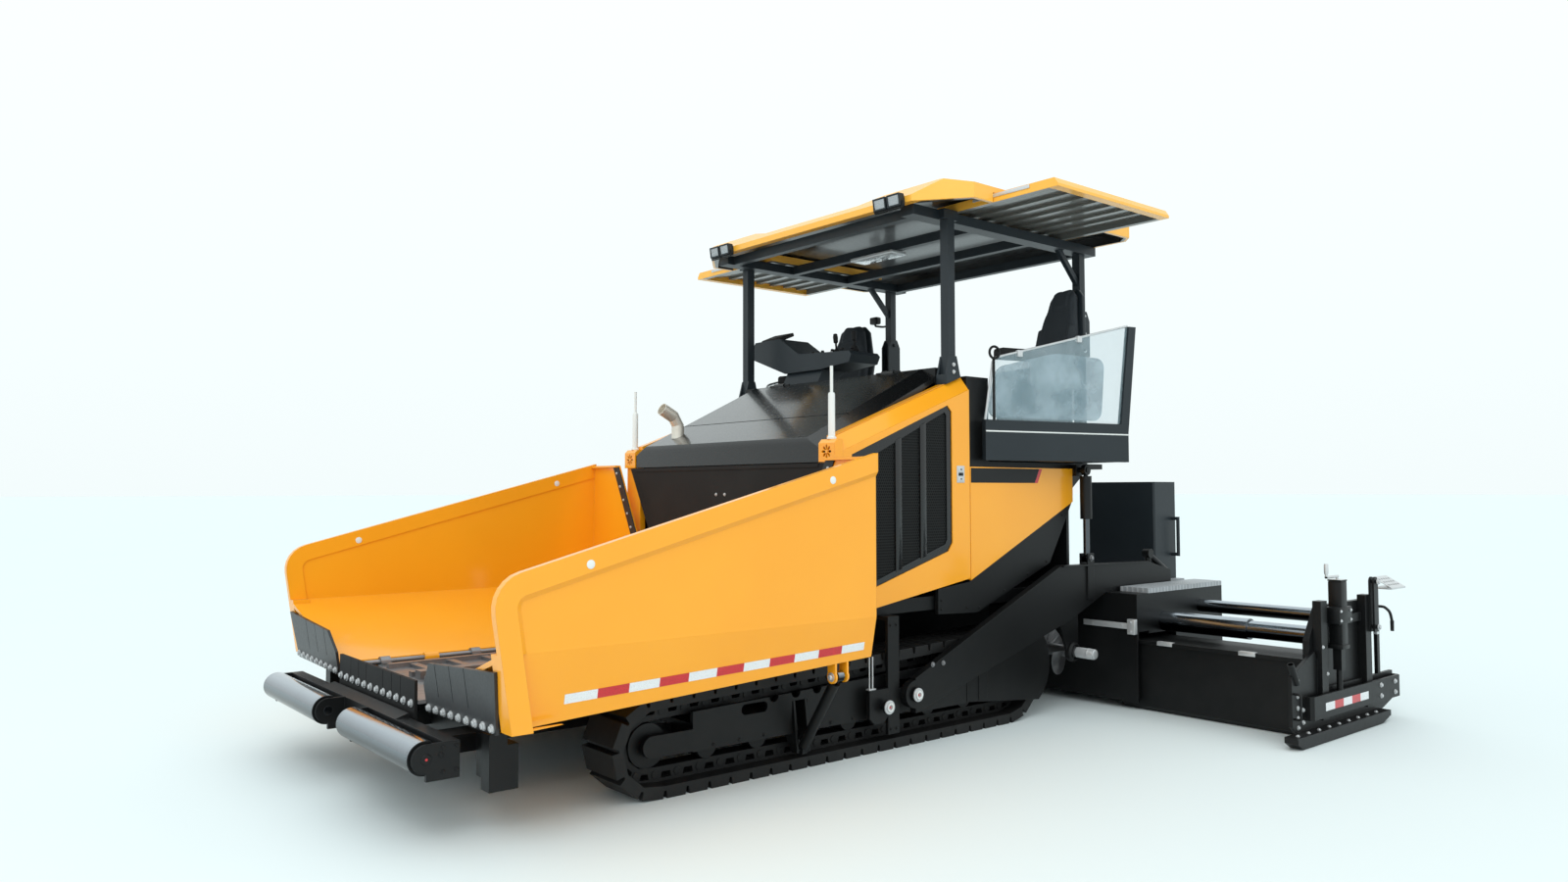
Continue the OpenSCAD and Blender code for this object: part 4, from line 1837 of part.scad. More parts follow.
module end_gate(left) {
  color(black) on_side(left) {
    // Plate, higher towards the front
    slab_y([[gate_front_x, gate_bar_z0], [gate_front_x - gate_nose, sole_z],
      [gate_rear_x + gate_tail, sole_z], [gate_rear_x, gate_bar_z0], [gate_rear_x, gate_bar_z1],
      [gate_front_x - gate_head_len * 3 / 2, gate_bar_z1], [gate_front_x - gate_head_len,
      gate_head_z + gate_bar_z0], [gate_front_x - gate_bar_t, gate_head_z],
      [gate_front_x, gate_head_z - gate_bar_t]], gate_y, gate_y + gate_t);
    // Shoe, turned up at both ends
    shoe_front_x = gate_front_x + gate_ahead;
    shoe_rear_x = gate_rear_x + gate_tail - gate_nose;
    slab_y([[shoe_front_x, sole_z + gate_shoe_h / 2], [shoe_front_x - gate_nose / 2, sole_z],
      [shoe_rear_x + gate_nose, sole_z], [shoe_rear_x, sole_z + gate_shoe_h / 2],
      [shoe_rear_x, gate_shoe_h], [shoe_front_x, gate_shoe_h]], gate_y + gate_t - cut,
      gate_y + gate_shoe_w);
    // Outer bar, folded back to the plate at both ends
    slab_z([[gate_rear_x, gate_y + gate_t - cut], [gate_rear_x, gate_bar_y], [gate_rear_x + gate_bar_t,
      gate_bar_y + gate_bar_t], [gate_front_x - gate_bar_front, gate_bar_y + gate_bar_t],
      [gate_front_x - gate_bar_front + gate_bar_t, gate_bar_y],
      [gate_front_x - gate_bar_front + gate_bar_t, gate_y + gate_t - cut], [gate_front_x - gate_bar_front,
      gate_y + gate_t - cut], [gate_front_x - gate_bar_front, gate_bar_y], [gate_rear_x + gate_bar_t,
      gate_bar_y], [gate_rear_x + gate_bar_t, gate_y + gate_t - cut]], gate_bar_z0 + gate_t,
      gate_bar_z1 - gate_t);
    for (x = gate_post_xs) {
      block([x - gate_post_w / 2, gate_y, gate_bar_z0], [x + gate_post_w / 2, gate_y + gate_post_t,
        gate_post_top_z]);
    }
    block([gate_post_xs[1], gate_y, gate_post_top_z - gate_brace_h * 3],
      [gate_post_xs[0], gate_y + gate_t, gate_post_top_z - gate_brace_h * 2]);
    gate_jack();
    // Pair of links with a pin on the rear post
    for (y = [gate_y + gate_post_t - cut, gate_y + gate_post_t + link_t * 2]) {
      block([link_x - link_r, y, link_z0], [link_x + link_r, y + link_t, link_z1]);
      bar_y(link_x, link_z1, link_r, y, y + link_t);
    }
    bar_y(link_x, link_z1, link_pin_r, gate_y + gate_post_t - cut, gate_y + gate_post_t + link_t * 4);
    bar_y(link_x, link_z0 + link_r, link_pin_r, gate_y + gate_post_t - cut,
      gate_y + gate_post_t + link_t * 4);
    gate_sight();
    // Tube at the front for a lifting bar
    difference() {
      translate([gate_front_x - tube_handle_r * 3, gate_y + gate_t, gate_head_z - tube_handle_lean])
        rotate([0, 90 - tube_handle_lean, 0])
        cylinder(h = tube_handle_r * 7, r = tube_handle_r);
      translate([gate_front_x - tube_handle_r * 3, gate_y + gate_t, gate_head_z - tube_handle_lean])
        rotate([0, 90 - tube_handle_lean, 0])
        translate([0, 0, tube_handle_r * 4])
          cylinder(h = tube_handle_r * 4, r = tube_handle_r - tube_handle_wall);
    }
  }
}

chassis();
engine_block();
track_frames();
track(true);  // track_left
track(false);  // track_right
conveyor();
hopper_aprons();
push_beam();
side_panels();
lower_panels();
platform();
console();
roof_frame();
roof();
work_lights();
light_poles();
tow_points();
auger_frame();
push_roller(true);  // push_roller_left
push_roller(false);  // push_roller_right
wing(true);  // wing_left
wing(false);  // wing_right
wing_flap(true);  // wing_flap_left
wing_flap(false);  // wing_flap_right
wing_barrel(true);  // wing_barrel_left
wing_barrel(false);  // wing_barrel_right
wing_rod(true);  // wing_rod_left
wing_rod(false);  // wing_rod_right
hood();
exhaust();
door(true);  // door_left
door(false);  // door_right
grille(true);  // grille_left
grille(false);  // grille_right
awning(true);  // awning_left
awning(false);  // awning_right
station(true);  // station_left
station(false);  // station_right
window(true);  // window_left
window(false);  // window_right
seat(true);  // seat_left
seat(false);  // seat_right
auger(true);  // auger_left
auger(false);  // auger_right
tow_arms();
screed_main();
walkway();
cabinets();
lift_barrels();
lift_rods();
extension(true);  // extension_left
extension(false);  // extension_right
guide_tubes(true);  // guide_tubes_left
guide_tubes(false);  // guide_tubes_right
end_gate(true);  // end_gate_left
end_gate(false);  // end_gate_right
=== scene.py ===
import json
from math import atan2, cos, pi, radians, sin

import bmesh
import bpy
from mathutils import Matrix, Vector


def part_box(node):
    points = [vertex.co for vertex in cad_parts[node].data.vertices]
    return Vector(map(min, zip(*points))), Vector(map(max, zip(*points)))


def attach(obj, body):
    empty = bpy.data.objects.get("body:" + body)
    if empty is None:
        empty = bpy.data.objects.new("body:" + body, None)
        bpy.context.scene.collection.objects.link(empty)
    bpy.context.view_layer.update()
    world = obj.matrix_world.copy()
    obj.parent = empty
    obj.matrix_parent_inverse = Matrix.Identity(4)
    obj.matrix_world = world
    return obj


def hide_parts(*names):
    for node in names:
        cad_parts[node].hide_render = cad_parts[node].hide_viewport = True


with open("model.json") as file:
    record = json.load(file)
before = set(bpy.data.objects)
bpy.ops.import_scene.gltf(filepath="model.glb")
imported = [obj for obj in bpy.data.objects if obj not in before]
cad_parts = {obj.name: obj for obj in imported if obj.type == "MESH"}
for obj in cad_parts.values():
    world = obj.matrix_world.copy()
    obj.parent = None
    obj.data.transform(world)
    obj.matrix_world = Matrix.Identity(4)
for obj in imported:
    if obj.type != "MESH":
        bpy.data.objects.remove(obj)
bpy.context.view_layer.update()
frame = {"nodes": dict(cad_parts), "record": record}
nodes = frame["nodes"]
print("frame loaded:", len(nodes), "nodes")


# shader maths: sockets that add, multiply and compare like numbers
class Val:
    def __init__(self, mat, socket):
        self.mat, self.socket = mat, socket

    def maths(self, kind, *values, clamp=False):
        return self.mat.node("Math", {"operation": kind, "use_clamp": clamp}, dict(enumerate(values)))

    def __add__(self, other):
        return self.maths("ADD", self, other)

    def __radd__(self, other):
        return self.maths("ADD", other, self)

    def __sub__(self, other):
        return self.maths("SUBTRACT", self, other)

    def __rsub__(self, other):
        return self.maths("SUBTRACT", other, self)

    def __mul__(self, other):
        return self.maths("MULTIPLY", self, other)

    def __rmul__(self, other):
        return self.maths("MULTIPLY", other, self)

    def __truediv__(self, other):
        return self.maths("DIVIDE", self, other)

    def __rtruediv__(self, other):
        return self.maths("DIVIDE", other, self)

    def __gt__(self, other):
        return self.maths("GREATER_THAN", self, other)

    def __lt__(self, other):
        return self.maths("LESS_THAN", self, other)

    def clamp(self):
        return self.maths("ADD", self, 0.0, clamp=True)

    def most(self, other):
        return self.maths("MAXIMUM", self, other)

    def wrap(self, step):
        return self.maths("MODULO", self, step)

    def whole(self):
        return self.maths("FLOOR", self)

    def size(self):
        return self.maths("ABSOLUTE", self)


class Finish:
    def __init__(self, name):
        self.material = bpy.data.materials.new(name)
        self.material.use_nodes = True
        self.tree = self.material.node_tree
        self.shader = self.tree.nodes["Principled BSDF"]
        self.place = self.node("TexCoord", {}, {}, "Object")

    def node(self, kind, settings, sockets, out=0):
        made = self.tree.nodes.new("ShaderNode" + kind)
        for key, value in settings.items():
            setattr(made, key, value)
        for key, value in sockets.items():
            self.put(made.inputs[key], value)
        return Val(self, made.outputs[out])

    def put(self, socket, value):
        if isinstance(value, Val):
            self.tree.links.new(value.socket, socket)
        else:
            socket.default_value = value

    def set(self, **sockets):
        for key, value in sockets.items():
            self.put(self.shader.inputs[key.replace("_", " ")], value)

    def noise(self, scale, detail=3.0, rough=0.55, at=None):
        sockets = {"Vector": at or self.place, "Scale": scale, "Detail": detail, "Roughness": rough}
        return self.node("TexNoise", {}, sockets)

    def wave(self, way, scale, wander=0.0):
        sockets = {"Vector": self.place, "Scale": scale, "Distortion": wander, "Detail": 2.0}
        return self.node("TexWave", {"bands_direction": way}, sockets)

    def ramp(self, value, low, high):
        return self.node("MapRange", {"clamp": True}, {0: value, 1: low, 2: high, 3: 0.0, 4: 1.0})

    def mix(self, mask, a, b):
        return self.node("Mix", {"data_type": "RGBA"}, {0: mask, 6: a, 7: b}, 2)

    def stretch(self, factors):
        return self.node("Mapping", {}, {"Vector": self.place, "Scale": factors})

    def axis(self, letter):
        return self.node("SeparateXYZ", {}, {0: self.place}, letter)

    def flat(self):
        return self.node("NewGeometry", {}, {}, "Normal")

    def facing(self, letter):
        return self.node("SeparateXYZ", {}, {0: self.flat()}, letter)

    def dot(self, a, b):
        return self.node("VectorMath", {"operation": "DOT_PRODUCT"}, {0: a, 1: b}, "Value")

    def soft(self, radius):
        return self.node("Bevel", {"samples": 4}, {"Radius": radius})

    # 1 along sharp edges of the solids, 0 on flats
    def edges(self, soft):
        return self.ramp(self.dot(soft, self.flat()), 0.995, 0.80)

    def bump(self, height, strength, distance, normal=None):
        sockets = {"Height": height, "Strength": strength, "Distance": distance}
        if normal:
            sockets["Normal"] = normal
        self.set(Normal=self.node("Bump", {}, sockets))


def tone(*levels):
    parts = [level / 255 for level in levels]
    return tuple(c / 12.92 if c <= 0.04045 else ((c + 0.055) / 1.055) ** 2.4 for c in parts) + (1.0,)


# coated steel: a slow drift of colour, dust from below, worn edges, and a lining where one is given
coat = {"driftScale": 1.7, "drift": (0.35, 0.7), "fineScale": 38.0, "speckScale": 420.0, "dustScale": 5.0,
        "dust": (0.40, 0.75), "dustFoot": 0.05, "wear": (0.42, 0.64), "wearShare": 0.4, "edge": 0.004,
        "clearRough": 0.10, "bump": 0.05, "depth": 0.0006}


def coated(name, colour, drift, dust, worn, rough, clear=0.0, grain=0.0, dustTop=1.4, dustAmount=0.4,
           lining=None, shine=0.5):
    f = Finish(name)
    soft = f.soft(coat["edge"])
    slow = f.noise(coat["driftScale"], 2.0)
    fine = f.noise(coat["fineScale"], 4.0, 0.6)
    speck = f.noise(coat["speckScale"], 2.0, 0.5)
    base = f.mix(f.ramp(slow, *coat["drift"]), colour, drift)
    if lining:
        where, lined = lining
        base = f.mix(where(f), base, lined)
    height = f.ramp(f.axis("Z"), dustTop, coat["dustFoot"])
    cloud = f.ramp(f.noise(coat["dustScale"], 5.0, 0.62), *coat["dust"])
    dusty = (height * cloud * dustAmount).clamp()
    wear = (f.edges(soft) * f.ramp(fine, *coat["wear"])).clamp()
    base = f.mix(wear * coat["wearShare"], f.mix(dusty, base, dust), worn)
    f.set(Base_Color=base, Roughness=(fine * 0.10 + dusty * 0.25 + (rough - 0.05)).clamp(),
          Coat_Weight=clear, Coat_Roughness=coat["clearRough"], Specular_IOR_Level=shine)
    f.bump(speck * 0.5 + fine * 0.5, coat["bump"] + grain, coat["depth"], soft)
    return f.material


# where the roof is hollow below, inside its cut corners, and the slats of the awnings
hollow = {"half": 1.455, "x": (-2.235, -0.139), "top": 3.668, "wall": -0.02, "corner": (-0.34, 1.48),
          "cornerWay": (0.786, 0.619), "tail": (-2.26, 1.39), "tailWay": 0.707}
slats = {"half": 1.930, "x": (-1.856, -0.544), "top": 3.6485, "facing": 0.5}


def within(f, box):
    x, y, z = f.axis("X"), f.axis("Y").size(), f.axis("Z")
    rear, front = box["x"]
    return x, y, (y < box["half"]) * (x > rear) * (x < front) * (z < box["top"])


def roofInside(f):
    x, y, inside = within(f, hollow)
    (cx, cy), (wx, wy), (tx, ty) = hollow["corner"], hollow["cornerWay"], hollow["tail"]
    corner = (x - cx) * wx + (y - cy) * wy < hollow["wall"]
    tail = (y - ty - (x - tx)) * hollow["tailWay"] < hollow["wall"]
    return inside * corner * tail


def awningSlats(f):
    inside = within(f, slats)[2]
    limit = slats["facing"]
    return inside * ((f.facing("Z") < -limit) + (f.facing("X").size() > limit)).clamp()


# a dark sheet pierced by rows of small holes, the holes painted near black as painted shade seen through them
sheet = {"cell": 0.018, "shift": 400.0, "hole": (0.165, 0.125), "grime": tone(38, 39, 39), "shine": 0.12,
         "bump": 0.8, "depth": 0.002}


def pierced(name, colour, hole):
    f = Finish(name)
    x, z = f.axis("X") / sheet["cell"] + sheet["shift"], f.axis("Z") / sheet["cell"]
    row = z.whole().wrap(2.0) * 0.5
    u, v = (x + row).wrap(1.0) - 0.5, z.wrap(1.0) - 0.5
    inside = f.ramp(u * u + v * v, *sheet["hole"])
    grime = f.noise(6.0, 4.0)
    # the holes take the near-black colour: painted shade behind the sheet
    f.set(Base_Color=f.mix(inside, f.mix(grime, colour, sheet["grime"]), hole),
          Roughness=grime * 0.2 + 0.45, Specular_IOR_Level=sheet["shine"])
    f.bump(1.0 - inside, sheet["bump"], sheet["depth"])
    return f.material


def screenGlass(name, colour, smeared):
    f = Finish(name)
    smear = f.noise(9.0, 3.0)
    f.set(Base_Color=f.mix(smear, colour, smeared), Roughness=smear * 0.15 + 0.06, Coat_Weight=1.0)
    return f.material


# bare metal: fine streaks along an axis and a little grime, and, where a colour is given, a painted dark
# reflection of the ground on the faces that point down
steel = {"lineScale": 6.0, "blotScale": 9.0, "grime": (0.5, 0.75), "grimeTone": (0.10, 0.09, 0.08, 1.0),
         "below": (0.85, -0.25), "edge": 0.002, "bump": 0.04, "depth": 0.0004}


def metal(name, colour, rough, streak=(3.0, 60.0, 60.0), grime=0.2, share=1.0, below=None):
    f = Finish(name)
    lines = f.noise(steel["lineScale"], 5.0, 0.65, f.stretch(streak))
    dirt = f.ramp(f.noise(steel["blotScale"], 4.0, 0.6), *steel["grime"]) * grime
    base = f.mix(dirt, colour, steel["grimeTone"])
    # painted reflection: faces that point down are darkened towards the given colour, standing for the dark
    # ground reflected in the metal
    if below:
        base = f.mix(f.ramp(f.facing("Z"), *steel["below"]), base, below)
    f.set(Base_Color=base, Metallic=share - dirt * 0.6 * share,
          Roughness=(lines * 0.16 + dirt * 0.4 + rough - 0.06).clamp())
    f.bump(lines, steel["bump"], steel["depth"], f.soft(steel["edge"]))
    return f.material


moulded = {"slowScale": 3.2, "slow": (0.45, 0.8), "slowShare": 0.5, "edge": 0.004, "edgeShare": 0.25,
           "bump": 0.18, "depth": 0.0008}


def softRubber(name, colour, dust, scale=220.0, rough=0.62, shine=0.35):
    f = Finish(name)
    soft = f.soft(moulded["edge"])
    grain = f.noise(scale, 3.0, 0.6)
    slow = f.noise(moulded["slowScale"], 3.0)
    # paler patches and edges towards the second colour: dust, and on the flaps also a painted sheen
    dustAndSheen = f.ramp(slow, *moulded["slow"]) * moulded["slowShare"] + f.edges(soft) * moulded["edgeShare"]
    f.set(Base_Color=f.mix(dustAndSheen.clamp(), colour, dust), Roughness=grain * 0.18 + rough,
          Specular_IOR_Level=shine)
    f.bump(grain + slow * 4.0, moulded["bump"], moulded["depth"], soft)
    return f.material


# raised lozenges in two directions on a plate
lozenge = {"cell": 0.045, "shift": 40.0, "thin": (0.20, 0.11), "long": (0.46, 0.38), "grime": (0.45, 0.75),
           "share": 0.35, "metallic": 0.25, "bump": 0.8, "depth": 0.0025}


def treadPlate(name, colour, worn, crest):
    f = Finish(name)
    x, y = f.axis("X") / lozenge["cell"], f.axis("Y") / lozenge["cell"]
    across = (x + y).wrap(2.0).size() > 1.0
    u = ((x + y).wrap(1.0).size() - 0.5).size()
    v = ((x - y + lozenge["shift"]).wrap(1.0).size() - 0.5).size()
    long = (1.0 - across) * u + across * v
    thin = (1.0 - across) * v + across * u
    lump = (f.ramp(thin, *lozenge["thin"]) * f.ramp(long, *lozenge["long"])).clamp()
    grime = f.noise(5.0, 5.0, 0.65)
    base = f.mix(f.ramp(grime, *lozenge["grime"]) * lozenge["share"], colour, worn)
    f.set(Base_Color=f.mix(lump * lozenge["share"], base, crest), Roughness=grime * 0.25 + 0.38,
          Metallic=lozenge["metallic"])
    f.bump(lump + grime * 0.08, lozenge["bump"], lozenge["depth"])
    return f.material


def glazing(name, colour, smeared, opaque):
    f = Finish(name)
    smear = f.noise(4.0, 4.0, 0.6)
    f.set(Base_Color=f.mix(f.ramp(smear, 0.35, 0.7), colour, smeared), Roughness=smear * 0.08 + 0.02,
          Alpha=smear * 0.16 + (opaque - 0.08))
    return f.material


def reflectiveTape(name, colour, dark):
    f = Finish(name)
    cells = f.node("TexVoronoi", {"feature": "DISTANCE_TO_EDGE"}, {"Vector": f.place, "Scale": 190.0})
    line = f.ramp(cells, 0.02, 0.08)
    smudge = f.noise(12.0, 4.0)
    f.set(Base_Color=f.mix(line * (1.0 - smudge * 0.3), dark, colour), Roughness=smudge * 0.2 + 0.25,
          Coat_Weight=0.5)
    f.bump(line, 0.15, 0.0004)
    return f.material


def seatCloth(name, colour, high):
    f = Finish(name)
    warp, weft = (f.wave(way, 130.0, 0.6) for way in "XZ")
    crumple = f.noise(14.0, 3.0)
    f.set(Base_Color=f.mix((warp * weft * 0.6 + crumple * 0.3).clamp(), colour, high),
          Roughness=crumple * 0.2 + 0.68)
    f.bump(warp * 0.5 + weft * 0.5 + crumple, 0.25, 0.0012)
    return f.material


def lampGlass(name, dark, paintedGlint):
    f = Finish(name)
    ribs = f.wave("Y", 60.0)
    # painted highlights: bright bands along the ribs stand for glints on the lens
    f.set(Base_Color=f.mix(ribs, dark, paintedGlint), Roughness=ribs * 0.1 + 0.08, Coat_Weight=1.0)
    f.bump(ribs, 0.4, 0.002)
    return f.material


# colour, drift, dust, wear and roughness of the paints
yellow = (tone(250, 164, 16), tone(252, 168, 20), tone(190, 146, 80), tone(176, 112, 30), 0.36)
paleYellow = (tone(252, 182, 62), tone(253, 186, 70), *yellow[2:])
black = (tone(11, 12, 13), tone(16, 17, 18), tone(52, 50, 48), tone(54, 55, 57), 0.40)
gloss = (tone(10, 11, 12), tone(14, 15, 16), tone(52, 50, 48), tone(60, 61, 63), 0.26)
slate = (tone(30, 37, 42), tone(36, 43, 48), tone(80, 80, 78), tone(84, 90, 95), 0.44)
track = (tone(16, 16, 17), tone(24, 24, 24), tone(70, 67, 63), tone(76, 75, 74), 0.50)
cast = (tone(52, 54, 56), tone(64, 66, 68), tone(110, 100, 90), tone(120, 120, 120), 0.6)
white = (tone(232, 233, 230), tone(222, 224, 222), tone(170, 164, 150), tone(180, 180, 178), 0.40)
smeared = tone(196, 214, 222)
paint = {
    "yellow": coated("yellow_paint", *yellow, clear=0.6, shine=0.4, dustTop=0.7, dustAmount=0.25),
    "roof": coated("roof_paint", *paleYellow, clear=0.4, shine=0.4, dustAmount=0.0,
                   lining=(roofInside, tone(30, 31, 32))),
    "awning": coated("awning_paint", *paleYellow, clear=0.4, shine=0.4, dustAmount=0.0,
                     lining=(awningSlats, tone(96, 96, 92))),
    "black": coated("black_paint", *black, dustTop=0.8, dustAmount=0.18, shine=0.28),
    "gloss": coated("gloss_black", *gloss, clear=0.45, dustAmount=0.0, shine=0.3),
    "slate": coated("slate_paint", *slate, grain=0.08, dustAmount=0.1, shine=0.35),
    "panel": glazing("panel_glass", tone(60, 92, 112), smeared, 0.58),
    "track": coated("track_steel", *track, grain=0.12, dustTop=0.75, dustAmount=0.14, shine=0.3),
    "wear": metal("wear_steel", tone(148, 148, 150), 0.42, grime=0.45),
    "cast": coated("engine_cast", *cast, grain=0.25),
    "rubber": softRubber("rubber", tone(14, 14, 15), tone(34, 33, 32)),
    # flaps: the grey-blue tone on patches and edges is partly dust and partly a painted sheen of the sky on
    # the rubber
    "flap": softRubber("flap_rubber", tone(20, 21, 23), tone(58, 60, 64), 60.0, 0.30, 0.6),
    # the chrome's dark tone on its downward faces is a painted reflection of the ground
    "chrome": metal("chrome", tone(172, 179, 186), 0.14, streak=(60.0, 4.0, 60.0), grime=0.06,
                    below=tone(26, 27, 29)),
    "bare": metal("bare_steel", tone(206, 207, 208), 0.30, grime=0.10, share=0.5),
    "stack": metal("exhaust_steel", tone(224, 217, 205), 0.34, grime=0.15, share=0.55),
    "white": coated("white_paint", *white),
    "tread": treadPlate("tread_plate", tone(164, 168, 172), tone(96, 94, 92), tone(228, 229, 230)),
    "deck": treadPlate("deck_tread", tone(46, 48, 50), tone(30, 30, 30), tone(92, 94, 96)),
    "glass": glazing("clear_glass", tone(176, 200, 208), smeared, 0.26),
    "seat": seatCloth("seat_cover", tone(30, 35, 40), tone(52, 58, 64)),
    "tapeWhite": reflectiveTape("tape_white", tone(240, 241, 242), tone(200, 203, 206)),
    "tapeRed": reflectiveTape("tape_red", tone(214, 22, 34), tone(160, 12, 22)),
    # the bright bands on the lamp lenses are painted highlights
    "lamp": lampGlass("lamp_glass", tone(74, 80, 86), tone(206, 212, 216)),
    "mesh": pierced("grille_sheet", tone(30, 32, 32), tone(3, 3, 4)),
    "screen": screenGlass("screen_glass", tone(12, 16, 20), tone(26, 34, 40)),
}
print("finishes made:", len(paint))

# the slot of each finish, and the solids that have a finish of their own
slotOf = {"yellow": "yellow_paint", "black": "black_paint", "slate": "slate_paint", "track": "track_steel",
          "wear": "wear_steel", "cast": "engine_cast", "rubber": "rubber", "chrome": "chrome",
          "bare": "bare_steel", "white": "white_paint", "tread": "tread_plate", "glass": "clear_glass",
          "seat": "seat_cover"}
finishOf = {slotName: finish for finish, slotName in slotOf.items()}
slotOf.update({"tapeWhite": "white_paint", "tapeRed": "white_paint", "lamp": "clear_glass",
               "panel": "clear_glass", "mesh": "black_paint", "screen": "clear_glass", "gloss": "black_paint",
               "deck": "tread_plate"})
ownFinish = {"roof": "roof", "awning_left": "awning", "awning_right": "awning", "hood": "gloss",
             "exhaust": "stack", "cabinets": "slate", "grille_left": "gloss", "grille_right": "gloss",
             "wing_flap_left": "flap", "wing_flap_right": "flap"}
for part in frame["record"]["subparts"]:
    finish = ownFinish.get(part["node"]) or finishOf[part["material_slot"]]
    solid = nodes[part["node"]]
    solid.data.materials.clear()
    solid.data.materials.append(paint[finish])
print("solids dressed:", len(nodes))

# directions on the left half, which the right half mirrors
forward, rearward, outward, upward = (1, 0, 0), (-1, 0, 0), (0, 1, 0), (0, 0, 1)
sides = (("left", 1), ("right", -1))


def between(a, b, share):
    return a + (b - a) * share


def betweenPoints(a, b, share):
    return tuple(between(p, q, share) for p, q in zip(a, b))


def shares(count):
    return [i / (count - 1) for i in range(count)]


def several(value):
    return value if isinstance(value, tuple) else (value,)


# bmesh shapes, each added to a mesh that is being made
def along(direction):
    return Vector(direction).normalized().to_track_quat("Z", "Y").to_matrix().to_4x4()


def soften(bm, edges, width, segments=2):
    bmesh.ops.bevel(bm, geom=list(edges), offset=width, segments=segments, profile=0.5, affect="EDGES",
                    material=-1)


def mirrored(bm, s):
    if s < 0:
        bmesh.ops.scale(bm, vec=(1.0, -1.0, 1.0), verts=bm.verts)


def addBox(bm, low, high, bevel=0.0, segments=2, turn=None):
    low, high = Vector(low), Vector(high)
    size = Matrix.Diagonal((high - low).to_4d())
    place = Matrix.Translation((low + high) / 2) @ (turn or Matrix()) @ size
    made = bmesh.ops.create_cube(bm, size=1.0, matrix=place)
    if bevel:
        soften(bm, {e for v in made["verts"] for e in v.link_edges}, bevel, segments)


def addRod(bm, a, b, r, segments=16, r2=None):
    a, b = Vector(a), Vector(b)
    place = Matrix.Translation((a + b) / 2) @ along(b - a)
    bmesh.ops.create_cone(bm, cap_ends=True, segments=segments, radius1=r, radius2=r if r2 is None else r2,
                          depth=(b - a).length, matrix=place)


# washer, six-sided head and its domed top, as shares of the bolt's size
boltShape = ((0.0, 0.25, 1.05, 1.05, 12), (0.2, 0.72, 0.78, 0.74, 6), (0.7, 0.82, 0.66, 0.5, 12))


def addBolt(bm, spot, out, size):
    spot, out = Vector(spot), Vector(out).normalized()
    for foot, top, r, r2, segments in boltShape:
        addRod(bm, spot + out * size * foot, spot + out * size * top, size * r, segments, size * r2)


def addPlate(bm, points, push):
    face = bm.faces.new([bm.verts.new(p) for p in points])
    made = bmesh.ops.extrude_face_region(bm, geom=[face])
    pushed = [v for v in made["geom"] if isinstance(v, bmesh.types.BMVert)]
    bmesh.ops.translate(bm, verts=pushed, vec=Vector(push))


# a bent bar through points, with its corners rounded off
def addPipe(bm, points, r, bend=0.03, segments=10, steps=5):
    pts = [Vector(p) for p in points]
    path = [pts[0]]
    for before, at, after in zip(pts, pts[1:], pts[2:]):
        reach = min(bend, (at - before).length * 0.45, (after - at).length * 0.45)
        start, end = at + (before - at).normalized() * reach, at + (after - at).normalized() * reach
        for share in shares(steps + 1):
            path.append(start.lerp(at, share).lerp(at.lerp(end, share), share))
    path.append(pts[-1])
    rings = []
    side = (path[1] - path[0]).normalized().orthogonal().normalized()
    turns = [2 * pi * k / segments for k in range(segments)]
    for i, spot in enumerate(path):
        way = (path[min(i + 1, len(path) - 1)] - path[max(i - 1, 0)]).normalized()
        side = (side - way * side.dot(way)).normalized()
        up = way.cross(side)
        rings.append([bm.verts.new(spot + r * (side * cos(turn) + up * sin(turn))) for turn in turns])
    for one, two in zip(rings, rings[1:]):
        for k in range(segments):
            after = (k + 1) % segments
            bm.faces.new((one[k], one[after], two[after], two[k]))
    bm.faces.new(rings[0])
    bm.faces.new(rings[-1])


# a turned shape: (radius, height) points spun about an axis
def addTurned(bm, points, spot, way, steps=28):
    turned = bmesh.new()
    verts = [turned.verts.new((r, 0.0, h)) for r, h in points]
    edges = [turned.edges.new(two) for two in zip(verts, verts[1:])]
    bmesh.ops.spin(turned, geom=verts + edges, cent=(0, 0, 0), axis=(0, 0, 1), angle=2 * pi, steps=steps,
                   use_merge=True)
    bmesh.ops.remove_doubles(turned, verts=turned.verts, dist=0.00002)
    bmesh.ops.transform(turned, matrix=Matrix.Translation(spot) @ along(way), verts=turned.verts)
    mesh = bpy.data.meshes.new("turned")
    turned.to_mesh(mesh)
    turned.free()
    bm.from_mesh(mesh)
    bpy.data.meshes.remove(mesh)


# every other stripe of a tape, on a face whose y is known at each height
def addTape(bm, tape, first, faceY):
    half, count = tape["high"] / 2, tape["stripes"]
    for i in range(first, count, 2):
        (x0, z0), (x1, z1) = (betweenPoints(tape["front"], tape["rear"], k / count) for k in (i, i + 1))
        corners = ((x0, z0 - half), (x1, z1 - half), (x1, z1 + half), (x0, z0 + half))
        addPlate(bm, [(x, faceY(z), z) for x, z in corners], (0, tape["thick"], 0))


# builders for pieces that are only bolts, boxes or turned shapes, or a few of these together
def boltsAt(*rows):
    def build(bm):
        for xs, ys, zs, out, size in rows:
            spots = [(x, y, z) for x in several(xs) for y in several(ys) for z in several(zs)]
            for spot in spots:
                addBolt(bm, spot, out, size)
    return build


def boxesAt(*rows):
    def build(bm):
        for row in rows:
            addBox(bm, *row)
    return build


def turnedAt(shape, spots, way, steps):
    def build(bm):
        for spot in spots:
            addTurned(bm, shape, spot, way, steps)
    return build


def together(*builders):
    def build(bm):
        for builder in builders:
            builder(bm)
    return build


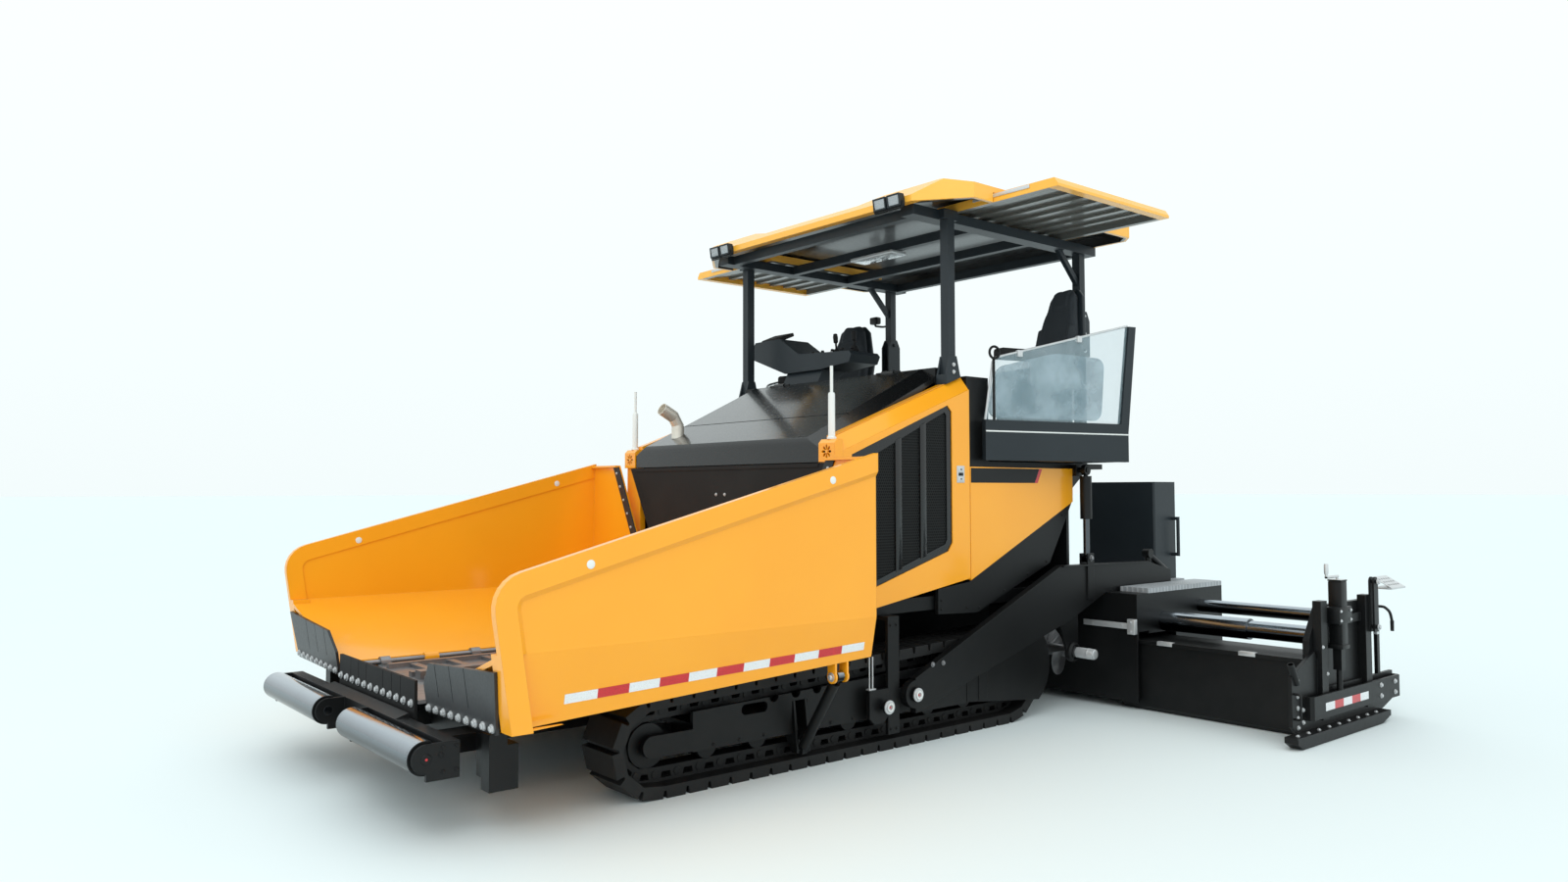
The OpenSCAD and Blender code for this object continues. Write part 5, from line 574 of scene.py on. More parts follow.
def piece(name, bm, finish, body, smooth=35):
    bmesh.ops.recalc_face_normals(bm, faces=bm.faces)
    mesh = bpy.data.meshes.new(name)
    bm.to_mesh(mesh)
    bm.free()
    mesh.materials.append(paint[finish])
    mesh.shade_smooth()
    mesh.set_sharp_from_angle(angle=radians(smooth))
    thing = bpy.data.objects.new(name, mesh)
    bpy.context.scene.collection.objects.link(thing)
    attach(thing, body)
    return thing


def single(name, build, finish, body, s=1):
    bm = bmesh.new()
    build(bm)
    mirrored(bm, s)
    piece(name, bm, finish, body)


# the same shape on the left and, mirrored, on the right
def pair(name, build, finish, body):
    for side, s in sides:
        single(f"{name}_{side}", build, finish, body.format(side), s)


# wings: tape along the skirt, rim plugs, pin caps, flap bolts and the seal on the rear wall
wing = {"skirtFoot": (1.560, 0.551), "skirtCrease": (1.630, 0.905), "tapeGap": 0.0006, "rim": 0.044,
        "plugs": ((2.628, 1.293), (1.095, 1.695)),
        "plugShape": ((0, 0.004), (0.0132, 0.0036), (0.022, 0.001), (0.022, -0.004), (0, -0.004)),
        "pin": (0.970, 1.550, 0.578), "pinHalf": 0.066, "washerHalf": 0.0565,
        "pinShape": ((0, 0.005), (0.012, 0.005), (0.016, 0.001), (0.0165, -0.006), (0, -0.006)),
        "washerShape": ((0.0155, 0.0), (0.026, 0.0), (0.026, -0.004), (0.0155, -0.004)),
        "flapFoot": (3.018, 0.551), "flapThick": 0.0163, "flapLean": 8.7, "flapBolts": 9, "flapBolt": 0.021,
        "flapRow": ((0.745, 0.545), (1.490, 0.565)),
        "sealLine": ((1.230, 1.826), (0.964, 1.305), (0.735, 0.70)), "sealX": 0.7562, "sealThick": 0.010,
        "sealIn": 0.01, "sealWidth": 0.07, "sealFace": 0.766, "sealBolts": 5, "sealBolt": 0.010,
        "sealBoltIn": 0.0385}
wingTape = {"front": (2.725, 0.669), "rear": (0.811, 0.741), "high": 0.046, "stripes": 11, "thick": 0.0012}
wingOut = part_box("wing_left")[1][1]
sealRuns = list(zip(wing["sealLine"], wing["sealLine"][1:]))


def skirtY(z):
    (y0, z0), (y1, z1) = wing["skirtFoot"], wing["skirtCrease"]
    return between(y0, y1, (z - z0) / (z1 - z0)) + wing["tapeGap"]


def wingPlugs(bm):
    for x, z in wing["plugs"]:
        for y, out in ((wingOut, 1), (wingOut - wing["rim"], -1)):
            addTurned(bm, wing["plugShape"], (x, y, z), (0, out, 0), 20)


def wingPins(bm):
    x, y, z = wing["pin"]
    for s in (1, -1):
        addTurned(bm, wing["pinShape"], (x + s * wing["pinHalf"], y, z), (s, 0, 0), 20)
        addTurned(bm, wing["washerShape"], (x + s * wing["washerHalf"], y, z), (s, 0, 0), 24)


def flapBolts(bm):
    lean = radians(wing["flapLean"])
    (x0, z0), thick = wing["flapFoot"], wing["flapThick"]
    for share in shares(wing["flapBolts"]):
        y, z = betweenPoints(*wing["flapRow"], share)
        up = z - z0
        spot = (x0 + thick * cos(lean) + up * sin(lean), y, z0 - thick * sin(lean) + up * cos(lean))
        addBolt(bm, spot, (cos(lean), 0, -sin(lean)), wing["flapBolt"])


def wingSeal(bm):
    x, near, far = wing["sealX"], wing["sealIn"], wing["sealWidth"]
    for (y0, z0), (y1, z1) in sealRuns:
        corners = [(x, y0 - near, z0), (x, y1 - near, z1), (x, y1 + far, z1), (x, y0 + far, z0)]
        addPlate(bm, corners, (wing["sealThick"], 0, 0))


def wingSealBolts(bm):
    count = wing["sealBolts"]
    for start, end in sealRuns:
        for i in range(count):
            y, z = betweenPoints(start, end, (i + 0.5) / count)
            addBolt(bm, (wing["sealFace"], y + wing["sealBoltIn"], z), forward, wing["sealBolt"])


pair("wing_tape_white", lambda bm: addTape(bm, wingTape, 0, skirtY), "tapeWhite", "wing_{}")
pair("wing_tape_red", lambda bm: addTape(bm, wingTape, 1, skirtY), "tapeRed", "wing_{}")
pair("wing_plugs", wingPlugs, "white", "wing_{}")
pair("wing_pin_caps", wingPins, "bare", "wing_{}")
pair("wing_flap_bolts", flapBolts, "bare", "wing_{}")
pair("wing_seal", wingSeal, "slate", "wing_{}")
pair("wing_seal_bolts", wingSealBolts, "bare", "wing_{}")
print("wings dressed")

# bolts of the middle flap, ends of the push rollers and bolts of their beam
push = {"midRow": ((3.0562, -0.56, 0.540), (3.0562, 0.56, 0.540)), "midBolts": 12, "midBolt": 0.021,
        "inner": (3.245, 0.212, 0.411), "outer": (3.245, 1.222, 0.411), "pin": (3.245, 1.250, 0.411),
        "capShape": ((0, -0.010), (0.057, -0.010), (0.061, 0.0015), (0.0775, 0.0025), (0.0795, 0.001),
                     (0.0801, -0.020), (0.0755, -0.021), (0.058, -0.0165), (0, -0.0165)),
        "pinShape": ((0, 0.0035), (0.022, 0.0035), (0.0255, 0.001), (0.0255, -0.002), (0, -0.002)),
        "dotShape": ((0, 0.0055), (0.005, 0.005), (0.008, 0.002), (0, 0.002)),
        "bolts": ((3.175, 1.250, 0.423, outward, 0.013),
                  ((3.10, 3.165), 1.250, (0.345, 0.455), outward, 0.010),
                  (3.155, (0.98, 1.12), 0.36, forward, 0.014))}


def middleBolts(bm):
    for share in shares(push["midBolts"]):
        addBolt(bm, betweenPoints(*push["midRow"], share), forward, push["midBolt"])


pushCaps = together(turnedAt(push["capShape"], [push["inner"]], (0, -1, 0), 40),
                    turnedAt(push["capShape"], [push["outer"]], outward, 40),
                    turnedAt(push["pinShape"], [push["pin"]], outward, 24))
single("middle_flap_bolts", middleBolts, "bare", "chassis")
pair("push_roller_caps", pushCaps, "black", "push_roller_{}")
pair("push_roller_dots", turnedAt(push["dotShape"], [push["pin"]], outward, 16), "tapeRed", "push_roller_{}")
pair("push_beam_bolts", boltsAt(*push["bolts"]), "black", "chassis")
print("push rollers dressed")

# doors: pierced sheet and bars in the grille, and the latch with its two lugs and dark slot
grille = {"outline": ((0.458, 1.8139), (-0.314, 2.1653), (-0.332, 2.1473), (-0.332, 1.307), (-0.314, 1.275),
                      (0.506, 1.013)),
          "bars": (-0.0998, 0.1337, 0.3672), "barHalf": 0.029, "overlap": 0.012, "barEdge": 0.004,
          "sheetY": 1.2125, "sheetThick": 0.001, "barThick": 0.0137}
latch = {"spot": (-0.464, 1.747), "plate": (0.039, 0.058), "plateY": (1.2295, 1.2335), "edge": 0.0015,
         "lug": (0.02808, 0.01624), "lugY": (1.2330, 1.2375), "lugUp": 0.03248,
         "slot": (0.0234, 0.01044), "slotY": (1.2332, 1.2360), "slotEdge": 0.002,
         "screwShape": ((0, 0.0015), (0.006, 0.0015), (0.007, -0.001), (0, -0.001))}


def grilleEdge(x, ends):
    (x0, z0), (x1, z1) = (grille["outline"][k] for k in ends)
    return between(z0, z1, (x - x0) / (x1 - x0))


def grilleSheet(bm):
    outline = [(x, grille["sheetY"], z) for x, z in grille["outline"]]
    addPlate(bm, outline, (0, grille["sheetThick"], 0))


def grilleBars(bm):
    half, over = grille["barHalf"], grille["overlap"]
    for x in grille["bars"]:
        foot = [(e, grilleEdge(e, (5, 4)) - over) for e in (x - half, x + half)]
        top = [(e, grilleEdge(e, (0, 1)) + over) for e in (x + half, x - half)]
        addPlate(bm, [(cx, grille["sheetY"], cz) for cx, cz in foot + top], (0, grille["barThick"], 0))
    soften(bm, bm.edges, grille["barEdge"])


# a flat box on the side of the body, from its middle and half sizes
def addTile(bm, x, z, half, depth, bevel):
    (w, h), (y0, y1) = half, depth
    addBox(bm, (x - w, y0, z - h), (x + w, y1, z + h), bevel)


def latchPlate(bm):
    x, z = latch["spot"]
    addTile(bm, x, z, latch["plate"], latch["plateY"], latch["edge"])
    for up in (-latch["lugUp"], latch["lugUp"]):
        addTile(bm, x, z + up, latch["lug"], latch["lugY"], latch["edge"])


def latchDark(bm):
    x, z = latch["spot"]
    addTile(bm, x, z, latch["slot"], latch["slotY"], latch["slotEdge"])
    for up in (-latch["lugUp"], latch["lugUp"]):
        addTurned(bm, latch["screwShape"], (x, latch["lugY"][1], z + up), outward, 14)


pair("grille_sheet", grilleSheet, "mesh", "door_{}")
pair("grille_bars", grilleBars, "gloss", "door_{}")
pair("door_latch", latchPlate, "bare", "door_{}")
pair("door_latch_key", latchDark, "black", "door_{}")
print("doors dressed")

# body: deck plates, black discs behind the vent petals as painted shade, pole sleeves, plain band on the rear
# quarter, bolts
body = {"deck": [((x, -0.590, 1.8398), (x + 0.510, 0.590, 1.8428), 0.001) for x in (-2.165, -1.650, -1.135)],
        "vent": (0.6866, 1.1555, 1.879),
        "ventShape": ((0, 0.0008), (0.0475, 0.0008), (0.0475, -0.004), (0, -0.004)),
        "pole": (0.653, 1.1525, 1.957),
        "poleShape": ((0, 0.0), (0.030, 0.0), (0.030, 0.012), (0.022, 0.018), (0.0215, 0.280), (0.018, 0.292),
                      (0, 0.292)),
        "apronBolts": (0.695, (0.09, -0.01), 1.61, forward, 0.011),
        "panelBolts": [(x, 1.222, z, outward, 0.009) for x, z in (
            (-0.27, 0.84), (-0.27, 0.90), (-0.53, 0.835), (-0.66, 0.83), (-0.93, 0.930), (-1.20, 1.030),
            (-1.42, 1.112), (-1.62, 1.45))],
        "frameBolts": (((0.224, 0.276), 1.284, (0.135, 0.785), outward, 0.011),
                       ((1.60, 1.42, 1.24, 0.72, 0.54, -0.10, -0.35), 1.212, 0.228, outward, 0.010))}
band = {"x": (-0.572, -1.335), "z": (1.690, 1.792), "y": 1.2302, "slant": 0.055, "stripe": 0.034,
        "thick": 0.0012}


# a flat strip on the rear quarter, from its front and rear ends at the foot and at the top
def addBand(bm, foot, top):
    z0, z1 = band["z"]
    corners = ((foot[0], z0), (foot[1], z0), (top[1], z1), (top[0], z1))
    addPlate(bm, [(x, band["y"], z) for x, z in corners], (0, band["thick"], 0))


def quarterBand(bm):
    front, rear = band["x"]
    addBand(bm, (front, rear + band["slant"]), (front, rear))


def quarterStripe(bm):
    foot, top = band["x"][1] + band["slant"], band["x"][1]
    addBand(bm, (foot, foot - band["stripe"]), (top, top - band["stripe"]))


single("deck_plate", boxesAt(*body["deck"]), "deck", "chassis")
# painted shade: black discs inside the vents stand for the shade seen between the petals
pair("vent_shade_discs", turnedAt(body["ventShape"], [body["vent"]], forward, 32), "black", "chassis")
pair("pole_sleeves", turnedAt(body["poleShape"], [body["pole"]], upward, 24), "white", "chassis")
single("apron_bolts", boltsAt(body["apronBolts"]), "bare", "chassis")
pair("quarter_band", quarterBand, "black", "chassis")
pair("quarter_stripe", quarterStripe, "tapeRed", "chassis")
pair("panel_bolts", boltsAt(*body["panelBolts"], *body["frameBolts"]), "black", "chassis")

# tow points: bright caps with a white ring and a red middle, level rods, bolts on the arms
tow = {"pins": ((0.108, 1.360, 0.341), (0.347, 1.340, 0.290)),
       "capShape": ((0, 0.003), (0.0129, 0.003), (0.01462, 0.014), (0.02838, 0.014), (0.0301, 0.006),
                    (0.043, 0.006), (0.04386, -0.002), (0, -0.002)),
       "ringShape": ((0.01548, 0.0138), (0.01634, 0.0160), (0.02666, 0.0160), (0.02752, 0.0138),
                     (0.01548, 0.0138)),
       "dotShape": ((0, 0.009), (0.006, 0.008), (0.009, 0.003), (0, 0.003)),
       "rods": (((0.415, 1.262, 0.32), (0.415, 1.262, 0.60), 0.005, 10),
                ((0.455, 1.275, 0.395), (0.455, 1.275, 0.60), 0.004, 10)),
       "clip": ((0.405, 1.250, 0.395), (0.462, 1.283, 0.405), 0.002),
       "armBolts": (((-0.05, -0.15), 1.324, 0.435, outward, 0.016),
                    ((-0.05, -0.15), 1.340, 0.513, outward, 0.016), (-1.79, 1.352, 1.128, outward, 0.022))}


def levelRods(bm):
    for rod in tow["rods"]:
        addRod(bm, *rod)
    addBox(bm, *tow["clip"])


pair("tow_caps", turnedAt(tow["capShape"], tow["pins"], outward, 32), "bare", "chassis")
pair("tow_rings", turnedAt(tow["ringShape"], tow["pins"], outward, 32), "white", "chassis")
pair("tow_dots", turnedAt(tow["dotShape"], tow["pins"], outward, 14), "tapeRed", "chassis")
pair("level_rods", levelRods, "bare", "chassis")
pair("arm_bolts", boltsAt(*tow["armBolts"]), "wear", "screed")
print("tow points dressed")

# track chains: a pin through every joint of the loop
chain = {"idler": (2.0, 0.270), "sprocket": (-0.95, 0.330), "pad": 0.042, "depth": 0.063, "joints": 52,
         "half": 0.060, "middle": 1.09, "pin": 0.021}


def chainPins(bm):
    (ix, ir), (sx, sr) = chain["idler"], chain["sprocket"]
    run, tilt = ix - sx, 2 * atan2(sr - ir, ix - sx)
    ri, rs = ir - chain["pad"], sr - chain["pad"]
    front = run + ri * (pi - tilt)  # length of the lower run and the turn round the idler
    top = front + run
    total = top + rs * (pi + tilt)
    idler, sprocket = Vector((ix, 0, ir)), Vector((sx, 0, sr))

    def around(middle, r, turn):
        return middle + (r - chain["depth"]) * Vector((cos(turn), 0, sin(turn)))

    def loopPoint(s):
        if s < run:
            return Vector((sx + s, 0, chain["pad"] + chain["depth"]))
        if s < front:
            return around(idler, ri, (s - run) / ri - pi / 2)
        up = pi / 2 - tilt
        if s < top:
            return around(idler, ri, up) - (s - front) * Vector((sin(up), 0, -cos(up)))
        return around(sprocket, rs, (s - top) / rs + up)

    for i in range(chain["joints"]):
        across = Vector((0, chain["half"], 0))
        middle = loopPoint(i * total / chain["joints"]) + Vector((0, chain["middle"], 0))
        addRod(bm, middle - across, middle + across, chain["pin"], 12)


pair("chain_pins", chainPins, "track", "chassis")
print("tracks dressed")

# roof: lenses and frames of the work lights, strip light inside, post lamp, rails on the awnings
lamp = {"y": (0.898, 1.032), "half": 0.048, "foot": (-0.0415, 3.5765), "top": (-0.0295, 3.6395),
        "lens": (0.007, 0, -0.0013), "sillX": (-0.074, -0.040), "sillZ": (3.560, 3.567), "sillHalf": 0.062,
        "sillEdge": 0.002, "hoopX": -0.050, "hoopZ": (3.60, 3.552), "hoopHalf": 0.066, "hoop": 0.005,
        "hoopBend": 0.012, "fins": 5, "finX": (-0.086, -0.076), "finZ": 3.578, "finStep": 0.014,
        "finHigh": 0.004, "finHalf": 0.05}
roof = {"strip": ((-0.965, -0.215, 3.492), (-0.795, 0.255, 3.5215), 0.008),
        "stripLens": ((-0.950, -0.195, 3.4885), (-0.810, 0.235, 3.4935), 0.002),
        "postLamp": ((-2.135, 1.20, 3.235), (-2.065, 1.30, 3.305), 0.016, 3),
        "postArm": ((-2.10, 1.09, 3.20), (-2.10, 1.15, 3.20), (-2.10, 1.25, 3.22), (-2.10, 1.25, 3.25)),
        "postRod": 0.010, "postGlass": ((-2.137, 1.212, 3.246), (-2.130, 1.288, 3.294), 0.002),
        "rails": (((-0.5398, 1.30, 3.622), (-0.5340, 1.78, 3.646), 0.002),
                  ((-1.8660, 1.30, 3.622), (-1.8602, 1.78, 3.646), 0.002))}


def lampLenses(bm):
    (x0, z0), (x1, z1), h = lamp["foot"], lamp["top"], lamp["half"]
    for y in lamp["y"]:
        addPlate(bm, [(x0, y - h, z0), (x0, y + h, z0), (x1, y + h, z1), (x1, y - h, z1)], lamp["lens"])


def lampFrames(bm):
    (x0, x1), (z0, z1), (high, low) = lamp["sillX"], lamp["sillZ"], lamp["hoopZ"]
    for y in lamp["y"]:
        addBox(bm, (x0, y - lamp["sillHalf"], z0), (x1, y + lamp["sillHalf"], z1), lamp["sillEdge"])
        near, far, x = y - lamp["hoopHalf"], y + lamp["hoopHalf"], lamp["hoopX"]
        addPipe(bm, ((x, near, high), (x, near, low), (x, far, low), (x, far, high)), lamp["hoop"],
                lamp["hoopBend"])
        for i in range(lamp["fins"]):
            z = lamp["finZ"] + i * lamp["finStep"]
            addBox(bm, (lamp["finX"][0], y - lamp["finHalf"], z),
                   (lamp["finX"][1], y + lamp["finHalf"], z + lamp["finHigh"]))


def postLamp(bm):
    addBox(bm, *roof["postLamp"])
    addPipe(bm, roof["postArm"], roof["postRod"])


pair("lamp_lenses", lampLenses, "lamp", "chassis")
single("strip_light", boxesAt(roof["strip"]), "bare", "chassis")
single("strip_light_lens", boxesAt(roof["stripLens"]), "lamp", "chassis")
pair("lamp_frames", lampFrames, "black", "chassis")
single("post_lamp_right", postLamp, "black", "chassis", -1)
single("post_lamp_glass_right", boxesAt(roof["postGlass"]), "lamp", "chassis", -1)
pair("awning_rails", boxesAt(*roof["rails"]), "bare", "awning_{}")
print("roof dressed")

# screed: rear panels, guide rail and block, small plates on the extensions, cabinet doors
rearSpans = ((0.03, 0.52), (0.55, 1.04), (1.07, 1.56))
screed = {"panels": [((-3.2445, y0, 0.600), (-3.2395, y1, 0.820), 0.002) for y0, y1 in rearSpans],
          "panelBolts": [(-3.2445, (y0 + 0.03, y1 - 0.03), (0.628, 0.792), rearward, 0.010)
                         for y0, y1 in rearSpans],
          "rail": (((-1.9884, 1.141, 0.598), (-1.9862, 1.538, 0.642), 0.0008),
                   ((-2.0, 1.5385, 0.5635), (-1.9622, 1.6015, 0.6765), 0.003)),
          "railScrews": [(-1.9862, y, 0.620) for y in (1.22, 1.36, 1.48)],
          "screwShape": ((0, 0.002), (0.007, 0.002), (0.010, 0.0), (0, -0.001)),
          "railBolts": (-1.9622, 1.570, (0.585, 0.655), forward, 0.009),
          "plates": [box for y in (1.80, 2.42) for box in (
              ((-2.075, y - 0.060, 0.5198), (-2.0345, y + 0.060, 0.5260), 0.0015),
              ((-2.0362, y - 0.060, 0.497), (-2.0325, y + 0.060, 0.5255), 0.0012))],
          "plateBolts": (-2.050, (1.77, 1.83, 2.39, 2.45), 0.5238, upward, 0.006),
          "doors": [((-3.2385, y, 0.940), (-3.2345, y + 0.286, 1.660), 0.0018) for y in (0.590, 0.884)],
          "latches": [((-3.2455, y - 0.010, 1.27), (-3.2380, y + 0.010, 1.36), 0.003)
                      for y in (0.850, 0.910)]}
auger = {"end": (-1.680, 1.450, 0.430), "collar": (-1.680, 1.405, 0.430), "bearing": (-1.680, 1.262, 0.430),
         "endShape": ((0, 0.004), (0.028, 0.004), (0.0365, 0.0), (0.0388, -0.004), (0.0388, -0.150),
                      (0.0375, -0.151), (0, -0.151)),
         "collarShape": ((0.0386, 0.0), (0.0402, -0.002), (0.0402, -0.014), (0.0386, -0.016)),
         "bearingShape": ((0.0465, 0.022), (0.058, 0.022), (0.066, 0.014), (0.074, 0.012), (0.074, -0.002),
                          (0.0465, -0.002)),
         "bolts": 6, "boltRing": 0.062, "bolt": 0.0095}


def bearings(bm):
    x, y, z = auger["bearing"]
    addTurned(bm, auger["bearingShape"], auger["bearing"], outward, 36)
    for i in range(auger["bolts"]):
        turn = 2 * pi * i / auger["bolts"]
        spot = (x + auger["boltRing"] * cos(turn), y, z + auger["boltRing"] * sin(turn))
        addBolt(bm, spot, outward, auger["bolt"])


extensionPlates = together(boxesAt(*screed["plates"]), boltsAt(screed["plateBolts"]))
guideRail = together(boxesAt(*screed["rail"]), boltsAt(screed["railBolts"]),
                     turnedAt(screed["screwShape"], screed["railScrews"], forward, 14))
augerEnds = together(turnedAt(auger["endShape"], [auger["end"]], outward, 32),
                     turnedAt(auger["collarShape"], [auger["collar"]], outward, 32))
pair("screed_rear_panels", boxesAt(*screed["panels"]), "slate", "screed")
pair("screed_rear_bolts", boltsAt(*screed["panelBolts"]), "bare", "screed")
pair("guide_rail_face", guideRail, "bare", "screed")
pair("auger_shaft_ends", augerEnds, "bare", "auger_{}")
pair("auger_bearings", bearings, "black", "chassis")
pair("extension_plates", extensionPlates, "bare", "extension_{}")
pair("cabinet_doors", boxesAt(*screed["doors"]), "slate", "screed")
pair("cabinet_latches", boxesAt(*screed["latches"]), "bare", "screed")
print("screed dressed")

# end gates: tape on the bar, bolts, jack with a bright crank, sight plate with holes painted black as painted
# shade, handles
gateTape = {"front": (-2.11, 0.216), "rear": (-2.77, 0.216), "high": 0.052, "stripes": 5, "thick": 0.0012}
gate = {"tapeY": 2.9107, "jack": (-2.370, 2.8903), "soleRow": ((-1.72, 2.905, 0.080), (-2.90, 2.905, 0.080)),
        "soleBolts": 9, "soleBolt": 0.013,
        "bolts": (((-2.98, -3.22), 2.9103, (0.185, 0.260), outward, 0.017),
                  (-1.835, 2.8543, (0.41, 0.31, 0.235, 0.17, 0.11), outward, 0.015),
                  (-1.905, 2.8543, (0.215, 0.135), outward, 0.015),
                  (-2.910, 2.934, (0.990, 0.674), outward, 0.020),
                  ((-2.445, -2.295), 2.9423, (0.765, 0.828), outward, 0.010),
                  (-2.20, 2.8863, 0.42, outward, 0.012), (-2.14, 2.8863, 0.60, outward, 0.012)),
        "jackBoxes": ((0.046, 0.044, 0.044, 0.580, 1.022, 0.006), (0.095, 0.056, 0.052, 0.742, 0.852, 0.005),
                      (0.056, 0.050, 0.050, 0.572, 0.600, 0.004)),
        "crankPlate": (0.046, 0.046, 0.046, 1.0328, 1.0345, 0.0006), "crankFoot": (1.033, 1.058),
        "crankZ": (1.055, 1.142), "crankX": (-0.010, 0.162), "crankRod": 0.0095, "crankBend": 0.010,
        "gripZ": 1.075,
        "gripShape": ((0, 0.0), (0.012, 0.0), (0.014, 0.010), (0.014, 0.060), (0.011, 0.070), (0, 0.070)),
        "handle": ((-3.10, 2.858, 0.80), (-3.10, 2.900, 0.80), (-3.16, 2.915, 0.76), (-3.19, 2.915, 0.69)),
        "handleRod": 0.010, "knob": (-3.19, 2.915, 0.62),
        "knobShape": ((0, 0.0), (0.012, 0.002), (0.013, 0.075), (0, 0.080)),
        "hoop": ((-1.79, 2.856, 0.17), (-1.79, 2.895, 0.17), (-1.79, 2.895, 0.33), (-1.79, 2.856, 0.33)),
        "hoopRod": 0.008, "hoopBend": 0.02}
sight = {"x": (-3.3215, -3.0785), "high": (2.832, 1.010), "low": (2.960, 0.9385),
         "push": (0, -0.0015, -0.0035), "cheekX": (-3.0785, -3.3185), "cheekThick": 0.003,
         "cheek": ((2.832, 1.010), (2.832, 0.937), (2.850, 0.937), (2.850, 1.000)),
         "boxes": (((-3.3215, 2.8288, 0.9262), (-3.0785, 2.9620, 0.9378), 0.0012),
                   ((-3.122, 2.8290, 0.60), (-3.0785, 2.8560, 0.90), 0.001)),
         "holes": (5, 3), "holeX": (-3.32, -3.08), "holeWay": (0, 0.0715, 0.128),
         "holeShape": ((0, 0.0004), (0.008, 0.0004), (0.008, -0.003), (0, -0.003))}


def gateFace(z):
    return gate["tapeY"]


def gateBolts(bm):
    boltsAt(*gate["bolts"])(bm)
    for share in shares(gate["soleBolts"]):
        addBolt(bm, betweenPoints(*gate["soleRow"], share), upward, gate["soleBolt"])


# a box round the jack's screw: half length, reach inwards and outwards, foot, top and bevel
def addJackBox(bm, half, inside, outside, foot, top, bevel):
    x, y = gate["jack"]
    addBox(bm, (x - half, y - inside, foot), (x + half, y + outside, top), bevel)


def gateCrank(bm):
    (x, y), (foot, top), (z0, z1) = gate["jack"], gate["crankFoot"], gate["crankZ"]
    near, far = (x + reach for reach in gate["crankX"])
    addJackBox(bm, *gate["crankPlate"])
    addRod(bm, (x, y, foot), (x, y, top), gate["crankRod"], 14)
    addPipe(bm, ((near, y, z0), (far, y, z0), (far, y, z1)), gate["crankRod"], gate["crankBend"], 12)
    addTurned(bm, gate["gripShape"], (far, y, gate["gripZ"]), upward, 18)


def gateJack(bm):
    for row in gate["jackBoxes"]:
        addJackBox(bm, *row)


def gateSight(bm):
    (x0, x1), (yHigh, zHigh), (yLow, zLow) = sight["x"], sight["high"], sight["low"]
    boxesAt(*sight["boxes"])(bm)
    corners = [(x0, yHigh, zHigh), (x1, yHigh, zHigh), (x1, yLow, zLow), (x0, yLow, zLow)]
    addPlate(bm, corners, sight["push"])
    for x in sight["cheekX"]:
        addPlate(bm, [(x, y, z) for y, z in sight["cheek"]], (-sight["cheekThick"], 0, 0))


def gateSightHoles(bm):
    columns, rows = sight["holes"]
    for i in range(columns):
        x = between(*sight["holeX"], (i + 1) / (columns + 1))
        for j in range(rows):
            y, z = betweenPoints(sight["high"], sight["low"], (j + 1) / (rows + 1))
            addTurned(bm, sight["holeShape"], (x, y, z), sight["holeWay"], 14)


def gateHandles(bm):
    addPipe(bm, gate["handle"], gate["handleRod"])
    addTurned(bm, gate["knobShape"], gate["knob"], upward, 14)
    addPipe(bm, gate["hoop"], gate["hoopRod"], gate["hoopBend"])


pair("gate_tape_white", lambda bm: addTape(bm, gateTape, 0, gateFace), "tapeWhite", "end_gate_{}")
pair("gate_tape_red", lambda bm: addTape(bm, gateTape, 1, gateFace), "tapeRed", "end_gate_{}")
pair("gate_bolts", gateBolts, "bare", "end_gate_{}")
pair("gate_crank", gateCrank, "bare", "end_gate_{}")
pair("gate_jack", gateJack, "black", "end_gate_{}")
pair("gate_sight", gateSight, "bare", "end_gate_{}")
# painted shade: black discs stand for the shade seen through the sight plate's holes
pair("gate_sight_hole_shade", gateSightHoles, "black", "end_gate_{}")
pair("gate_handles", gateHandles, "black", "end_gate_{}")
print("end gates dressed")

# seats: padded base and back on a shell, made in the station's own frame
station = {"pivot": (-0.870, 1.110, 0.0), "turn": -13.0}
seat = {"base": (((-0.785, -0.365, 2.430), (-0.335, 0.105, 2.515), 0.030, 4),
                 ((-0.755, -0.365, 2.470), (-0.355, -0.270, 2.527), 0.026, 4),
                 ((-0.755, 0.010, 2.470), (-0.355, 0.105, 2.527), 0.026, 4),
                 ((-0.455, -0.365, 2.455), (-0.335, 0.105, 2.521), 0.028, 4)),
        "backFoot": (-0.800, -0.130, 2.530), "backLean": -13.0,
        "backShape": ((0.235, 0.015), (0.238, 0.27), (0.150, 0.590), (0.092, 0.648)),
        "backX": 0.040, "backThick": 0.050, "backIn": -0.012, "backEdge": 0.018,
        "bolsters": (((0.060, 0.145, 0.04), (0.106, 0.215, 0.34), 0.022, 4),
                     ((0.060, -0.215, 0.04), (0.106, -0.145, 0.34), 0.022, 4),
                     ((0.055, -0.095, 0.475), (0.102, 0.095, 0.630), 0.022, 4)),
        "shellX": 0.002, "shellThick": 0.034, "shellOut": 0.008, "shellEdge": 0.009,
        "arms": (((0.0, 0.226, -0.10), (0.060, 0.246, 0.10), 0.006),
                 ((0.0, -0.246, -0.10), (0.060, -0.226, 0.10), 0.006)),
        "pan": ((-0.795, -0.373, 2.420), (-0.355, 0.113, 2.452), 0.008), "fill": 0.7, "smooth": 60,
        "voxel": 0.006, "pressure": 4.0, "frames": 20, "reach": 0.014}
stationPlace = Matrix.Translation(station["pivot"]) @ Matrix.Rotation(radians(station["turn"]), 4, "Z")
backPlace = Matrix.Translation(seat["backFoot"]) @ Matrix.Rotation(radians(seat["backLean"]), 4, "Y")


def moved(bm, place):
    bmesh.ops.transform(bm, matrix=place, verts=bm.verts)


